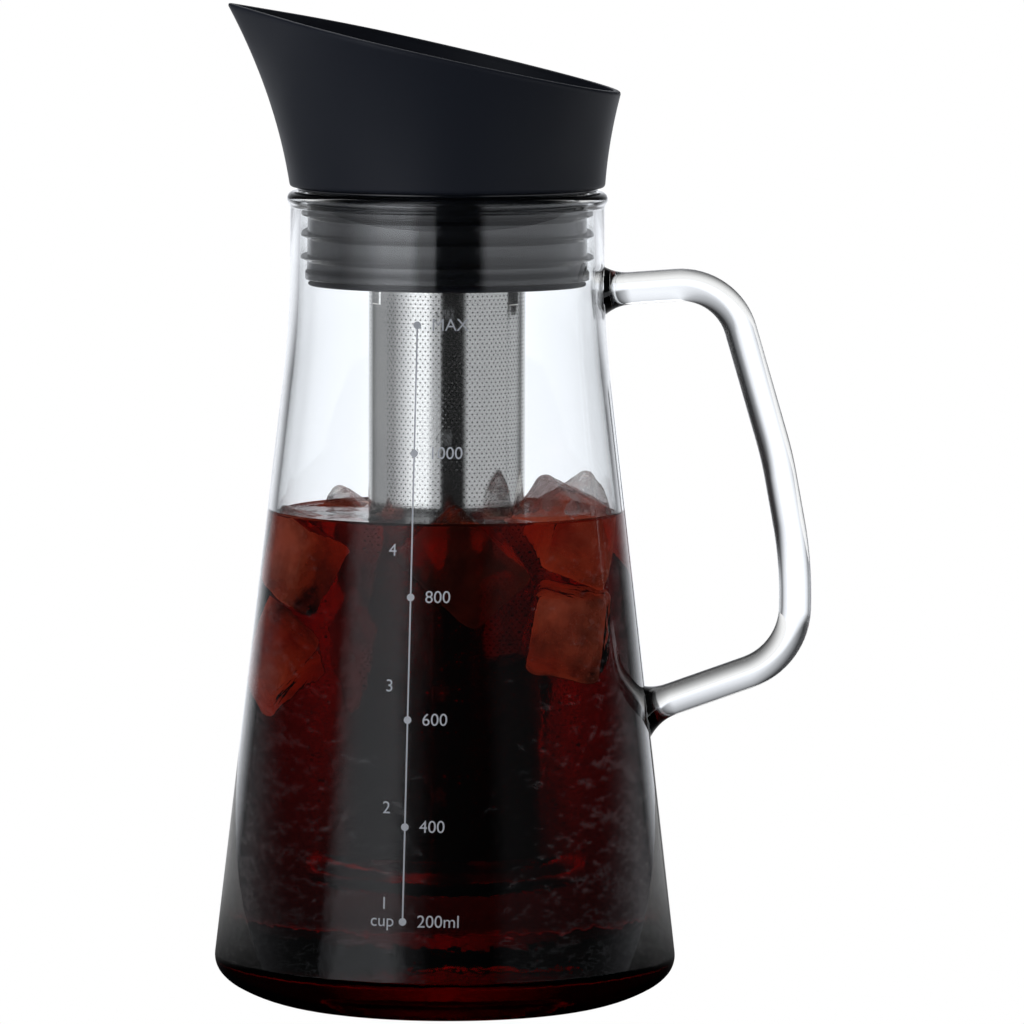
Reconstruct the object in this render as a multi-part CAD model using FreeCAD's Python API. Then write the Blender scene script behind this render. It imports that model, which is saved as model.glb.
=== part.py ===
import FreeCAD
import Part
import math
import os
from functools import partial

# Cold brew coffee maker: a tapered glass carafe with a fused glass rod handle,
# a moulded pouring collar sealed in its neck, and a steel filter hung from the collar.
# Millimetres, +Z up, spout towards -X, handle towards +X, origin under the carafe's centre.

V = FreeCAD.Vector
UP = V(0, 0, 1)

# Carafe
WALL = 2.2                  # glass wall
NECK_R = 39.1               # outside of the neck
WIDEST_R = 57.6             # outside of the heel, its widest point
WIDEST_Z = 11.6
CONE_TOP_Z = 171.0          # where the tapered side meets the neck
SHOULDER_REACH = 14.0       # soft turn on either side of that height
RIM_Z = 202.8               # top of the rim bead
BEAD_R = 1.9                # half thickness of the rim bead
BEAD_PROUD = 0.8            # how far the bead stands out of the neck
LIP_ROUND = 1.05            # rounding of the rim's inner edge
FOOT_IN_R = 31.0            # inner edge of the flat foot ring
HEEL_R = 6.5                # heel curve at the widest point
HEEL_MID_R = 12.0           # heel curve below it
HEEL_LOW_R = 36.0           # heel curve that runs into the foot
HEEL_MID_DEG = 50.0         # slope where the first heel curve ends
HEEL_LOW_DEG = 30.0         # slope where the second heel curve ends
PUNT_RISE = 3.4             # push-up under the base
FLOOR = 3.4                 # glass over the push-up

# Handle
ROD_R = 4.05                # glass rod
FLARE_R = 7.3               # fused foot of the rod at the wall
FLARE_LENGTH = 8.0
WAIST_ALONG = 0.35          # where the foot's hollow curve is deepest, as a share of its length
WAIST_SWELL = 0.3           # and how much of the flare is left there
TOP_JOINT_Z = 178.3         # rod axis at the neck
TOP_CORNER = (69.6, 180.6)  # corners of the rod's axis, X and Z, before rounding
UPPER_CORNER = (82.4, 137.0)
LOWER_CORNER = (87.2, 111.0)
BOTTOM_CORNER = (87.1, 87.0)
BOTTOM_JOINT = (50.2, 73.8)
TOP_BEND_R = 15.5
GRIP_BEND_R = 100.0
BOTTOM_BEND_R = 17.5

# Pouring collar
COLLAR_WALL = 1.9
COLLAR_FOOT_GAP = 1.1       # from the glass rim to the collar's lowest edge outside
COLLAR_FOOT_PROUD = 0.1     # how far that edge stands out past the neck
FLARE_SLOPE = 0.11          # outward slope of the collar at its foot
FLARE_GROWTH = 0.00422      # how the slope grows with height, per mm
LEAN = 0.045                # the flare's centre moves to the spout by this share of the height
SPOUT_TIP_Z = 249.4
RIM_LOW_Z = 227.8           # top of the collar over the handle
RIM_LOW_X = 43.0
SPOUT_TIP_X = -54.8
PINCH = 7.4                 # how far each side of the spout is drawn in at the tip
PINCH_SPAN_DEG = 70.0       # width of each drawn-in side
PINCH_SKEW = 0.75           # under one moves the deepest place towards the tip
PINCH_START = 5.0           # height over the foot where the spout begins
PINCH_POWER = 1.5           # how the pinch deepens with height
TIP_ROUND_DEG = 4.0         # rounding of the spout's ridge
FOOT_ROUND = 0.9
FLARE_SECTIONS = 7          # outlines that the flare is lofted through
FLARE_SPARE = 4.0           # height of the loft over the tip, cut off by the rim
THROAT_STEP = 0.6           # small step where the throat opens into the flare
SLEEVE_ROOM = 3.5           # from the skirt that goes down the neck to the neck's bore
SKIRT_WALL = 1.7
SKIRT_DEPTH = 23.2          # how far the skirt goes down below the glass rim
SKIRT_BEAD = 1.3            # bead that keeps the sleeve on the skirt
SKIRT_BEAD_H = 1.5
LEDGE = 1.6                 # inner ledge that carries the filter seat

# Seal sleeve
SLEEVE_WALL = 1.5
SLEEVE_REST_GAP = 0.3       # from the glass rim to the sleeve's flange
FIN_DEPTHS = (16.8, 11.2, 6.1)   # below the glass rim
FIN_THICK = 0.9
FIN_TIP = 0.45
FIN_RISE = 0.8
FIN_GAP = 0.3               # from the fins to the bore of the neck
CUFF_H = 2.0                # thicker lower edge of the sleeve
CUFF_PROUD = 0.5

# Filter seat
SEAT_THICK = 2.0
SEAT_FIT = 0.15             # seat in the skirt
FILTER_FIT = 0.6            # filter tube in the seat
SEAT_COLLAR_WALL = 1.4
SEAT_COLLAR_H = 4.0
DRAIN_COUNT = 8
DRAIN_IN_GAP = 1.2          # web between the seat's collar and the drain slots
DRAIN_OUT_GAP = 1.6         # web between the slots and the skirt
SPOKE_W = 3.4

# Filter
FILTER_R = 19.5
SHEET = 0.5                 # perforated sheet
FILTER_FOOT_Z = 28.5
BASE_H = 9.0                # plain pressed cup at the foot
BASE_ROUND = 3.0
RIM_GAP = 0.3               # filter rim over the seat
RIM_FLANGE = 4.2
RIM_LENGTH = 10.0
LUG_COUNT = 3
LUG_H = 3.6
LUG_W = 4.4
LUG_PROUD = 0.35
LUG_TOP_Z = 178.6
LUG_FIRST_DEG = -33.0       # direction of the lug that shows in front
HOLE_D = 1.8                # the coarse rows that stand for the fine perforation
HOLE_ROWS = 9
HOLE_COLUMNS = 12
PLAIN_TOP = 12.0            # unperforated sheet at the top
PLAIN_FOOT = 12.0

# Filter cap
CAP_GAP = 0.3
CAP_TOP_THICK = 2.0
CAP_FLANGE = 2.6
PLUG_WALL = 1.6
PLUG_DEPTH = 7.0
PLUG_FIT = 0.9              # plug in the filter's rim, filled by the gasket
GRIP_H = 11.0
GRIP_W = 3.2
GRIP_L = 24.0
GRIP_TAPER = 5.0
GRIP_CREST_W = 2.2
GASKET_GROOVE = 1.0
GASKET_SECTION = 1.8
GASKET_FIT = 0.1
EDGE = 0.4                  # small rounding of moulded edges


QUARTER = math.sqrt(0.5)        # sine and cosine at the middle of a quarter turn


def point(radius, height):
    return V(radius, 0, height)


def line(start, end):
    return Part.LineSegment(start, end).toShape()


def arc(start, middle, end):
    return Part.Arc(start, middle, end).toShape()


def turn(edges):
    """Revolve a closed outline in the XZ plane about Z."""
    face = Part.Face(Part.Wire(edges))
    solid = face.revolve(V(0, 0, 0), UP, 360)
    return solid if solid.ShapeType == "Solid" else Part.makeSolid(solid)


def turned_polygon(points):
    """Revolve a straight-sided outline of (radius, height) pairs."""
    corners = [point(radius, height) for radius, height in points]
    corners.append(corners[0])
    return turn([line(a, b) for a, b in zip(corners, corners[1:])])


def ring(inner, outer, low, high):
    return turned_polygon([(inner, low), (outer, low), (outer, high), (inner, high)])


def export(shape, name):
    shape.exportStep("parts/" + name + ".step")


# Coffee and ice, as poured
DRINK_LEVEL_Z = 122.5
DRINK_GAP = 0.3             # to the glass and round the filter
ICE_SIZE = 21.0
ICE_ROUND = 3.0             # half-melted edges
ICE_PLACES = (              # centre of each cube and its tilt in degrees
    (-33.0, -13.0, 111.5, 24.0),
    (-35.0, -9.0, 87.0, 52.0),
    (-24.0, 27.0, 112.5, 38.0),
    (29.0, -17.0, 119.0, 33.0),
    (34.0, 12.0, 117.0, 61.0),
    (27.0, -24.0, 95.0, 15.0),
    (4.0, -33.0, 112.0, 47.0),
)

# Sizes that follow from the neck and the rim
NECK_BORE_R = NECK_R - WALL
COLLAR_FOOT_R = NECK_R + COLLAR_FOOT_PROUD
COLLAR_FOOT_Z = RIM_Z + COLLAR_FOOT_GAP
SKIRT_R = NECK_BORE_R - SLEEVE_ROOM
SKIRT_FOOT_Z = RIM_Z - SKIRT_DEPTH

# Carafe profile
CONE_ANGLE = math.atan2(WIDEST_R - NECK_R, CONE_TOP_Z - WIDEST_Z)
HEEL_CENTRE = (WIDEST_R - HEEL_R, WIDEST_Z)


def heel_points(inset):
    """Arc ends and middles down the heel, drawn in by the inset; the last end lies on the foot."""
    def on_arc(centre, radius, degrees):
        angle = math.radians(degrees)
        reach = radius - inset
        return point(centre[0] + reach * math.sin(angle), centre[1] - reach * math.cos(angle))

    def next_centre(centre, radius, new_radius, degrees):
        angle = math.radians(degrees)
        step = new_radius - radius
        return (centre[0] - step * math.sin(angle), centre[1] + step * math.cos(angle))

    first = HEEL_CENTRE
    second = next_centre(first, HEEL_R, HEEL_MID_R, HEEL_MID_DEG)
    third = next_centre(second, HEEL_MID_R, HEEL_LOW_R, HEEL_LOW_DEG)
    start_deg = 90 + math.degrees(CONE_ANGLE)
    end_cos = min(1.0, third[1] / HEEL_LOW_R)
    end_deg = math.degrees(math.acos(end_cos))
    stretches = []
    for centre, radius, high, low in (
        (first, HEEL_R, start_deg, HEEL_MID_DEG),
        (second, HEEL_MID_R, HEEL_MID_DEG, HEEL_LOW_DEG),
        (third, HEEL_LOW_R, HEEL_LOW_DEG, end_deg),
    ):
        stretches.append([on_arc(centre, radius, degrees) for degrees in (high, (high + low) / 2, low)])
    return stretches


def punt(radius_edge, edge_z, rise):
    """Arc from the centre of a domed floor to its edge."""
    sphere_r = (radius_edge ** 2 + rise ** 2) / (2 * rise)
    middle = radius_edge / 2
    middle_z = edge_z + math.sqrt(sphere_r ** 2 - middle ** 2) - (sphere_r - rise)
    return arc(point(0, edge_z + rise), point(middle, middle_z), point(radius_edge, edge_z))


def shoulder(neck_r, corner_z):
    """Top, middle and foot of the soft turn from the neck into the tapered side."""
    radius = SHOULDER_REACH / math.tan(CONE_ANGLE / 2)
    points = []
    for angle in (0, CONE_ANGLE / 2, CONE_ANGLE):
        out = radius * (1 - math.cos(angle))
        points.append(point(neck_r + out, corner_z + SHOULDER_REACH - radius * math.sin(angle)))
    return points


def outer_side():
    """Edges of the carafe's outside, from the rim bead's foot down to the foot ring."""
    stretches = heel_points(0)
    bend = shoulder(NECK_R, CONE_TOP_Z)
    edges = [line(point(NECK_R, RIM_Z - 2 * BEAD_R), bend[0]), arc(*bend), line(bend[-1], stretches[0][0])]
    edges += [arc(*stretch) for stretch in stretches]
    return edges, stretches[-1][-1]


def carafe_body():
    outside, foot_edge = outer_side()
    bead_centre = NECK_R + BEAD_PROUD - BEAD_R
    bead_z = RIM_Z - BEAD_R
    bead_foot = point(NECK_R, RIM_Z - 2 * BEAD_R)
    lip_r = NECK_BORE_R + LIP_ROUND
    lip_in = point(NECK_BORE_R, RIM_Z - LIP_ROUND)
    lip_top = point(lip_r, RIM_Z)
    lip_mid = point(lip_r - LIP_ROUND * QUARTER, RIM_Z - LIP_ROUND * (1 - QUARTER))
    bead_top = point(bead_centre, RIM_Z)
    bead_mid = point(bead_centre + BEAD_R * QUARTER, bead_z + BEAD_R * QUARTER)
    bead_out = point(bead_centre + BEAD_R, bead_z)
    edges = [arc(lip_in, lip_mid, lip_top), line(lip_top, bead_top), arc(bead_top, bead_mid, bead_out)]
    edges.append(line(bead_out, bead_foot))
    edges += outside
    foot_in = point(FOOT_IN_R, 0)
    edges.append(line(foot_edge, foot_in))
    edges.append(punt(FOOT_IN_R, 0, PUNT_RISE))
    inside = heel_points(WALL)
    floor_edge = inside[-1][0]
    floor_rise = PUNT_RISE + FLOOR - floor_edge.z
    edges.append(line(point(0, PUNT_RISE), point(0, PUNT_RISE + FLOOR)))
    edges.append(inner_floor(floor_edge, floor_rise))
    edges += [arc(*reversed(stretch)) for stretch in reversed(inside[:-1])]
    bend = shoulder(NECK_BORE_R, CONE_TOP_Z - WALL * math.tan(CONE_ANGLE / 2))
    edges += [line(inside[0][0], bend[-1]), arc(*reversed(bend)), line(bend[0], lip_in)]
    return turn(edges)


def inner_floor(edge, rise):
    """Gently domed floor from the axis to the heel."""
    sphere_r = (edge.x ** 2 + rise ** 2) / (2 * abs(rise))
    middle = edge.x / 2
    drop = sphere_r - math.sqrt(sphere_r ** 2 - middle ** 2)
    sign = 1 if rise > 0 else -1
    return arc(point(0, edge.z + rise), point(middle, edge.z + rise - sign * drop), edge)


def carafe_outside():
    """The carafe as a filled solid, which shapes the feet of the handle."""
    outside, foot_edge = outer_side()
    top = point(0, RIM_Z - 2 * BEAD_R)
    edges = [line(top, point(NECK_R, RIM_Z - 2 * BEAD_R))] + outside
    edges.append(line(foot_edge, V(0, 0, 0)))
    edges.append(line(V(0, 0, 0), top))
    return turn(edges)


# Handle
def rod_corners():
    """Corners of the rod's axis in the XZ plane, from the neck round to the lower side."""
    return [
        V(NECK_R, 0, TOP_JOINT_Z),
        V(TOP_CORNER[0], 0, TOP_CORNER[1]),
        V(UPPER_CORNER[0], 0, UPPER_CORNER[1]),
        V(LOWER_CORNER[0], 0, LOWER_CORNER[1]),
        V(BOTTOM_CORNER[0], 0, BOTTOM_CORNER[1]),
        V(BOTTOM_JOINT[0], 0, BOTTOM_JOINT[1]),
    ]


def fused_foot(wall_point, away):
    """Trumpet where the rod is melted onto the wall, along the rod's own axis."""
    axis = V(away).normalize()
    side = V(0, 1, 0)
    start = wall_point - axis * (2 * WALL)
    tip = wall_point + axis * FLARE_LENGTH
    waist = wall_point + axis * (FLARE_LENGTH * WAIST_ALONG) + side * (ROD_R + (FLARE_R - ROD_R) * WAIST_SWELL)
    edges = [line(start, start + side * FLARE_R), line(start + side * FLARE_R, wall_point + side * FLARE_R)]
    edges.append(arc(wall_point + side * FLARE_R, waist, tip + side * ROD_R))
    edges.append(line(tip + side * ROD_R, tip))
    edges.append(line(tip, start))
    solid = Part.Face(Part.Wire(edges)).revolve(start, axis, 360)
    return solid if solid.ShapeType == "Solid" else Part.makeSolid(solid)


def carafe_handle():
    """Fused feet, straight runs and tangent bends, end to end."""
    corners = rod_corners()
    radii = [TOP_BEND_R, GRIP_BEND_R, GRIP_BEND_R, BOTTOM_BEND_R]
    first_away = (corners[1] - corners[0]).normalize()
    last_away = (corners[-2] - corners[-1]).normalize()
    pieces = [fused_foot(corners[0], first_away), fused_foot(corners[-1], last_away)]
    start = corners[0] + first_away * FLARE_LENGTH
    for before, corner, after, radius in zip(corners, corners[1:], corners[2:], radii):
        into = (corner - before).normalize()
        out = (after - corner).normalize()
        angle = into.getAngle(out)
        reach = radius * math.tan(angle / 2)
        begin = corner - into * reach
        pieces.append(Part.makeCylinder(ROD_R, (begin - start).Length, start, into))
        inward = (out - into * math.cos(angle)).normalize()
        section = Part.Face(Part.Wire(Part.makeCircle(ROD_R, begin, into)))
        pieces.append(section.revolve(begin + inward * radius, into.cross(inward), math.degrees(angle)))
        start = corner + out * reach
    end = corners[-1] + last_away * FLARE_LENGTH
    pieces.append(Part.makeCylinder(ROD_R, (end - start).Length, start, end - start))
    outside = pieces[0].fuse(pieces[1:]).cut(carafe_outside())
    return max(outside.Solids, key=lambda solid: solid.Volume)


# Pouring collar
def flare_radius(height):
    rise = height - COLLAR_FOOT_Z
    return COLLAR_FOOT_R + FLARE_SLOPE * rise + FLARE_GROWTH * rise * rise


def pinch_at(degrees):
    """Share of the full pinch at an angle from the spout's ridge."""
    rounded = math.hypot(degrees, TIP_ROUND_DEG)
    share = (rounded / PINCH_SPAN_DEG) ** PINCH_SKEW
    if share >= 1:
        return 0.0
    base = (TIP_ROUND_DEG / PINCH_SPAN_DEG) ** PINCH_SKEW
    return math.sin(math.pi * share) - math.sin(math.pi * base) * (1 - share) / (1 - base)


def pinch_depth(height):
    full = SPOUT_TIP_Z - COLLAR_FOOT_Z - PINCH_START
    share = max(0.0, height - COLLAR_FOOT_Z - PINCH_START) / full
    return PINCH * share ** PINCH_POWER


SECTION_ANGLES = (0, 5, 10, 16, 24, 34, 45, 57, 70, 85, 100, 120, 140, 160, 180)


def collar_section(height, inset):
    """Closed smooth outline of the collar at one height, drawn in by the inset."""
    centre = -LEAN * (height - COLLAR_FOOT_Z)
    depth = pinch_depth(height)
    far_side = [-angle for angle in SECTION_ANGLES[1:-1]]
    points = []
    for degrees in list(reversed(SECTION_ANGLES)) + far_side:
        radius = flare_radius(height) - depth * pinch_at(abs(degrees)) - inset
        angle = math.radians(degrees)
        points.append(V(centre - radius * math.cos(angle), radius * math.sin(angle), height))
    curve = Part.BSplineCurve()
    curve.interpolate(Points=points, PeriodicFlag=True)
    return Part.Wire(curve.toShape())


def flared_solid(inset, low):
    top = SPOUT_TIP_Z + FLARE_SPARE
    step = (top - low) / (FLARE_SECTIONS - 1)
    heights = [low + step * index for index in range(FLARE_SECTIONS)]
    return Part.makeLoft([collar_section(height, inset) for height in heights], True)


def rim_cutter():
    """Everything above the slanted rim."""
    slope = (RIM_LOW_Z - SPOUT_TIP_Z) / (RIM_LOW_X - SPOUT_TIP_X)
    reach = 3 * COLLAR_FOOT_R
    left = V(-reach, -reach, SPOUT_TIP_Z + slope * (-reach - SPOUT_TIP_X))
    right = V(reach, -reach, SPOUT_TIP_Z + slope * (reach - SPOUT_TIP_X))
    lift = V(0, 0, 2 * reach)
    outline = Part.makePolygon([left, right, right + lift, left + lift, left])
    return Part.Face(outline).extrude(V(0, 2 * reach, 0))


def pour_collar():
    skirt_bore = SKIRT_R - SKIRT_WALL
    ledge_top = SKIRT_FOOT_Z + LEDGE
    throat_top = COLLAR_FOOT_Z + 2 * COLLAR_WALL
    throat_r = flare_radius(throat_top) - COLLAR_WALL - THROAT_STEP
    skirt = turned_polygon([
        (0, SKIRT_FOOT_Z),
        (SKIRT_R + SKIRT_BEAD - EDGE, SKIRT_FOOT_Z),
        (SKIRT_R + SKIRT_BEAD, SKIRT_FOOT_Z + EDGE),
        (SKIRT_R, SKIRT_FOOT_Z + SKIRT_BEAD_H),
        (SKIRT_R, COLLAR_FOOT_Z + COLLAR_WALL),
        (0, COLLAR_FOOT_Z + COLLAR_WALL),
    ])
    bore = turned_polygon([
        (0, SKIRT_FOOT_Z - COLLAR_WALL),
        (skirt_bore - LEDGE, SKIRT_FOOT_Z - COLLAR_WALL),
        (skirt_bore - LEDGE, ledge_top),
        (skirt_bore, ledge_top),
        (skirt_bore, COLLAR_FOOT_Z),
        (throat_r, throat_top),
        (0, throat_top),
    ])
    outside = flared_solid(0, COLLAR_FOOT_Z).cut(foot_rounding()).fuse(skirt)
    inside = flared_solid(COLLAR_WALL, throat_top).fuse(bore)
    body = outside.cut(inside).cut(rim_cutter())
    return max(body.Solids, key=lambda solid: solid.Volume)


def foot_rounding():
    """Ring that takes the sharp corner off the collar's lower edge."""
    outer = COLLAR_FOOT_R + 2 * FOOT_ROUND
    low = COLLAR_FOOT_Z - FOOT_ROUND
    corner = COLLAR_FOOT_R + FLARE_SLOPE * FOOT_ROUND
    start = point(corner - FOOT_ROUND, COLLAR_FOOT_Z)
    middle = point(corner - FOOT_ROUND * (1 - QUARTER), COLLAR_FOOT_Z + FOOT_ROUND * (1 - QUARTER))
    end = point(corner, COLLAR_FOOT_Z + FOOT_ROUND)
    edges = [arc(start, middle, end), line(end, point(outer, end.z)), line(point(outer, end.z), point(outer, low))]
    edges += [line(point(outer, low), point(start.x, low)), line(point(start.x, low), start)]
    return turn(edges)


# Seal sleeve
def seal_sleeve():
    inner = SKIRT_R
    body_r = SKIRT_R + SLEEVE_WALL
    low = SKIRT_FOOT_Z + SKIRT_BEAD_H
    flange_low = RIM_Z + SLEEVE_REST_GAP
    flange_r = COLLAR_FOOT_R - 2 * FOOT_ROUND
    fin_r = NECK_BORE_R - FIN_GAP
    outline = [(inner, low), (body_r + CUFF_PROUD - EDGE, low), (body_r + CUFF_PROUD, low + EDGE)]
    outline += [(body_r + CUFF_PROUD, low + CUFF_H), (body_r, low + CUFF_H + CUFF_PROUD)]
    for depth in FIN_DEPTHS:
        height = RIM_Z - depth
        outline.append((body_r, height - FIN_THICK / 2))
        outline.append((fin_r, height - FIN_TIP / 2 + FIN_RISE))
        outline.append((fin_r, height + FIN_TIP / 2 + FIN_RISE))
        outline.append((body_r, height + FIN_THICK / 2))
    outline += [(body_r, flange_low), (flange_r, flange_low), (flange_r, COLLAR_FOOT_Z)]
    outline.append((inner, COLLAR_FOOT_Z))
    return turned_polygon(outline)


# Filter seat
SEAT_LOW_Z = SKIRT_FOOT_Z + LEDGE
SEAT_TOP_Z = SEAT_LOW_Z + SEAT_THICK
SEAT_HOLE_R = FILTER_R + FILTER_FIT


def filter_seat():
    outer = SKIRT_R - SKIRT_WALL - SEAT_FIT
    collar_r = SEAT_HOLE_R + SEAT_COLLAR_WALL
    plate = turned_polygon([
        (SEAT_HOLE_R, SEAT_LOW_Z),
        (outer, SEAT_LOW_Z),
        (outer, SEAT_TOP_Z),
        (collar_r, SEAT_TOP_Z),
        (collar_r, SEAT_TOP_Z + SEAT_COLLAR_H),
        (SEAT_HOLE_R, SEAT_TOP_Z + SEAT_COLLAR_H),
    ])
    slot_ring = ring(collar_r + DRAIN_IN_GAP, outer - DRAIN_OUT_GAP, SEAT_LOW_Z - 1, SEAT_TOP_Z + 1)
    spokes = []
    for index in range(DRAIN_COUNT):
        spoke = Part.makeBox(SKIRT_R, SPOKE_W, 4 * SEAT_THICK, V(0, -SPOKE_W / 2, SEAT_LOW_Z - SEAT_THICK))
        spoke.rotate(V(0, 0, 0), UP, 360 * (index + 0.5) / DRAIN_COUNT)
        spokes.append(spoke)
    slots = slot_ring.cut(spokes)
    return plate.cut(slots).Solids[0]


# Filter
RIM_UNDER_Z = SEAT_TOP_Z + SEAT_COLLAR_H + RIM_GAP
TUBE_BORE_R = FILTER_R - SHEET


def filter_rim():
    """Pressed ring with a rolled edge that hangs on the seat's collar, inside the tube's top."""
    flange_r = FILTER_R + RIM_FLANGE
    roll = 2 * SHEET
    rim = turned_polygon([
        (TUBE_BORE_R - SHEET, RIM_UNDER_Z - RIM_LENGTH),
        (TUBE_BORE_R, RIM_UNDER_Z - RIM_LENGTH),
        (TUBE_BORE_R, RIM_UNDER_Z),
        (flange_r, RIM_UNDER_Z),
        (flange_r, RIM_UNDER_Z + SHEET),
        (TUBE_BORE_R - SHEET, RIM_UNDER_Z + SHEET),
    ])
    bead = Part.makeTorus(flange_r, roll, V(0, 0, RIM_UNDER_Z + roll), UP)
    return rim.fuse(bead).removeSplitter().Solids[0]


def filter_tube():
    low = FILTER_FOOT_Z + BASE_H
    tube = ring(TUBE_BORE_R, FILTER_R, low, RIM_UNDER_Z)
    lugs = []
    for index in range(LUG_COUNT):
        block = Part.makeBox(
            FILTER_R + LUG_PROUD - TUBE_BORE_R, LUG_W, LUG_H, V(TUBE_BORE_R, -LUG_W / 2, LUG_TOP_Z - LUG_H)
        )
        block.rotate(V(0, 0, 0), UP, LUG_FIRST_DEG + 360 * index / LUG_COUNT)
        lugs.append(block.cut(Part.makeCylinder(TUBE_BORE_R, RIM_Z)))
    tube = tube.fuse(lugs)
    first = low + PLAIN_FOOT
    pitch = (LUG_TOP_Z - PLAIN_TOP - first) / (HOLE_ROWS - 1)
    drills = []
    for row in range(HOLE_ROWS):
        for column in range(HOLE_COLUMNS // 2):
            drill = Part.makeCylinder(
                HOLE_D / 2, 4 * FILTER_R, V(-2 * FILTER_R, 0, first + row * pitch), V(1, 0, 0)
            )
            drill.rotate(V(0, 0, 0), UP, 360 * (column + 0.5 * (row % 2)) / HOLE_COLUMNS)
            drills.append(drill)
    return tube.cut(drills).Solids[0]


def filter_base():
    """Pressed cup welded inside the foot of the tube, with a stepped wall and a rounded edge."""
    low = FILTER_FOOT_Z
    join = low + BASE_H
    step = join + BASE_H / 2
    bend = BASE_ROUND
    outer = FILTER_R
    inner = FILTER_R - SHEET
    edges = [
        line(point(0, low), point(outer - bend, low)),
        arc(
            point(outer - bend, low),
            point(outer - bend * (1 - QUARTER), low + bend * (1 - QUARTER)),
            point(outer, low + bend),
        ),
        line(point(outer, low + bend), point(outer, join)),
        line(point(outer, join), point(inner, join)),
        line(point(inner, join), point(inner, step)),
        line(point(inner, step), point(inner - SHEET, step)),
        line(point(inner - SHEET, step), point(inner - SHEET, low + bend)),
        arc(
            point(inner - SHEET, low + bend),
            point(inner - SHEET - (bend - SHEET) * (1 - QUARTER), low + bend - (bend - SHEET) * QUARTER),
            point(inner - bend, low + SHEET),
        ),
        line(point(inner - bend, low + SHEET), point(0, low + SHEET)),
        line(point(0, low + SHEET), point(0, low)),
    ]
    return turn(edges)


# Filter cap
CAP_LOW_Z = RIM_UNDER_Z + 4 * SHEET + CAP_GAP
PLUG_R = TUBE_BORE_R - SHEET - PLUG_FIT


def filter_cap():
    flange_r = FILTER_R + CAP_FLANGE
    top = CAP_LOW_Z + CAP_TOP_THICK
    groove_z = CAP_LOW_Z - PLUG_DEPTH / 2
    half = GASKET_SECTION / 2
    cup = turned_polygon([
        (0, CAP_LOW_Z),
        (PLUG_R - PLUG_WALL, CAP_LOW_Z),
        (PLUG_R - PLUG_WALL, CAP_LOW_Z - PLUG_DEPTH),
        (PLUG_R - EDGE, CAP_LOW_Z - PLUG_DEPTH),
        (PLUG_R, CAP_LOW_Z - PLUG_DEPTH + EDGE),
        (PLUG_R, groove_z - half),
        (PLUG_R - GASKET_GROOVE, groove_z - half),
        (PLUG_R - GASKET_GROOVE, groove_z + half),
        (PLUG_R, groove_z + half),
        (PLUG_R, CAP_LOW_Z),
        (flange_r - EDGE, CAP_LOW_Z),
        (flange_r, CAP_LOW_Z + EDGE),
        (flange_r, top - EDGE),
        (flange_r - EDGE, top),
        (0, top),
    ])
    grip = grip_blade(top)
    return cup.fuse(grip).removeSplitter().Solids[0]


def grip_blade(top):
    """Upright finger grip with sloping ends, lofted from foot to crest."""
    foot = Part.makePolygon(rectangle(GRIP_L, GRIP_W, top - EDGE))
    crest = Part.makePolygon(rectangle(GRIP_L - 2 * GRIP_TAPER, GRIP_CREST_W, top + GRIP_H))
    blade = Part.makeLoft([foot, crest], True, True)
    upright = [edge for edge in blade.Edges if abs(edge.tangentAt(edge.FirstParameter).z) > 0.5]
    return blade.makeFillet(GRIP_W / 4, upright)


def rectangle(length, width, height):
    half_l = length / 2
    half_w = width / 2
    signs = ((-1, -1), (1, -1), (1, 1), (-1, 1), (-1, -1))
    return [V(half_l * a, half_w * b, height) for a, b in signs]


def cap_gasket():
    groove_z = CAP_LOW_Z - PLUG_DEPTH / 2
    half = GASKET_SECTION / 2 - GASKET_FIT
    inner = PLUG_R - GASKET_GROOVE
    outer = TUBE_BORE_R - SHEET - GASKET_FIT
    return turned_polygon([
        (inner, groove_z - half),
        (outer - half / 2, groove_z - half),
        (outer, groove_z),
        (outer - half / 2, groove_z + half),
        (inner, groove_z + half),
    ])


# Coffee and ice
def inside_glass(top):
    """The room inside the tapered part of the carafe, up to a height."""
    inset = WALL + DRINK_GAP
    stretches = heel_points(inset)
    floor_edge = stretches[-1][0]
    crown = PUNT_RISE + FLOOR + DRINK_GAP
    side_r = NECK_R - inset / math.cos(CONE_ANGLE) + (CONE_TOP_Z - top) * math.tan(CONE_ANGLE)
    edges = [inner_floor(floor_edge, crown - floor_edge.z)]
    edges += [arc(*reversed(stretch)) for stretch in reversed(stretches[:-1])]
    edges.append(line(stretches[0][0], point(side_r, top)))
    edges.append(line(point(side_r, top), point(0, top)))
    edges.append(line(point(0, top), point(0, crown)))
    return turn(edges)


def filter_room():
    """What the filter and its clearance take out of the coffee."""
    low = FILTER_FOOT_Z - DRINK_GAP
    return Part.makeCylinder(FILTER_R + LUG_PROUD + DRINK_GAP, RIM_Z - low, V(0, 0, low))


def whole_cube(place):
    x, y, z, tilt = place
    corner = V(-ICE_SIZE / 2, -ICE_SIZE / 2, -ICE_SIZE / 2)
    cube = Part.makeBox(ICE_SIZE, ICE_SIZE, ICE_SIZE, corner)
    cube = cube.makeFillet(ICE_ROUND, cube.Edges)
    cube.rotate(V(0, 0, 0), V(1, 1, 0), tilt)
    cube.rotate(V(0, 0, 0), UP, tilt)
    cube.translate(V(x, y, z))
    return cube


def ice(index):
    """One cube, kept inside the glass and clear of the filter and of the cubes before it."""
    cube = whole_cube(ICE_PLACES[index]).common(inside_glass(DRINK_LEVEL_Z + ICE_SIZE))
    cube = cube.cut([filter_room()] + [whole_cube(place) for place in ICE_PLACES[:index]])
    return max(cube.Solids, key=lambda solid: solid.Volume)


def coffee():
    body = inside_glass(DRINK_LEVEL_Z).cut([filter_room()] + [whole_cube(place) for place in ICE_PLACES])
    return max(body.Solids, key=lambda solid: solid.Volume)


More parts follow.
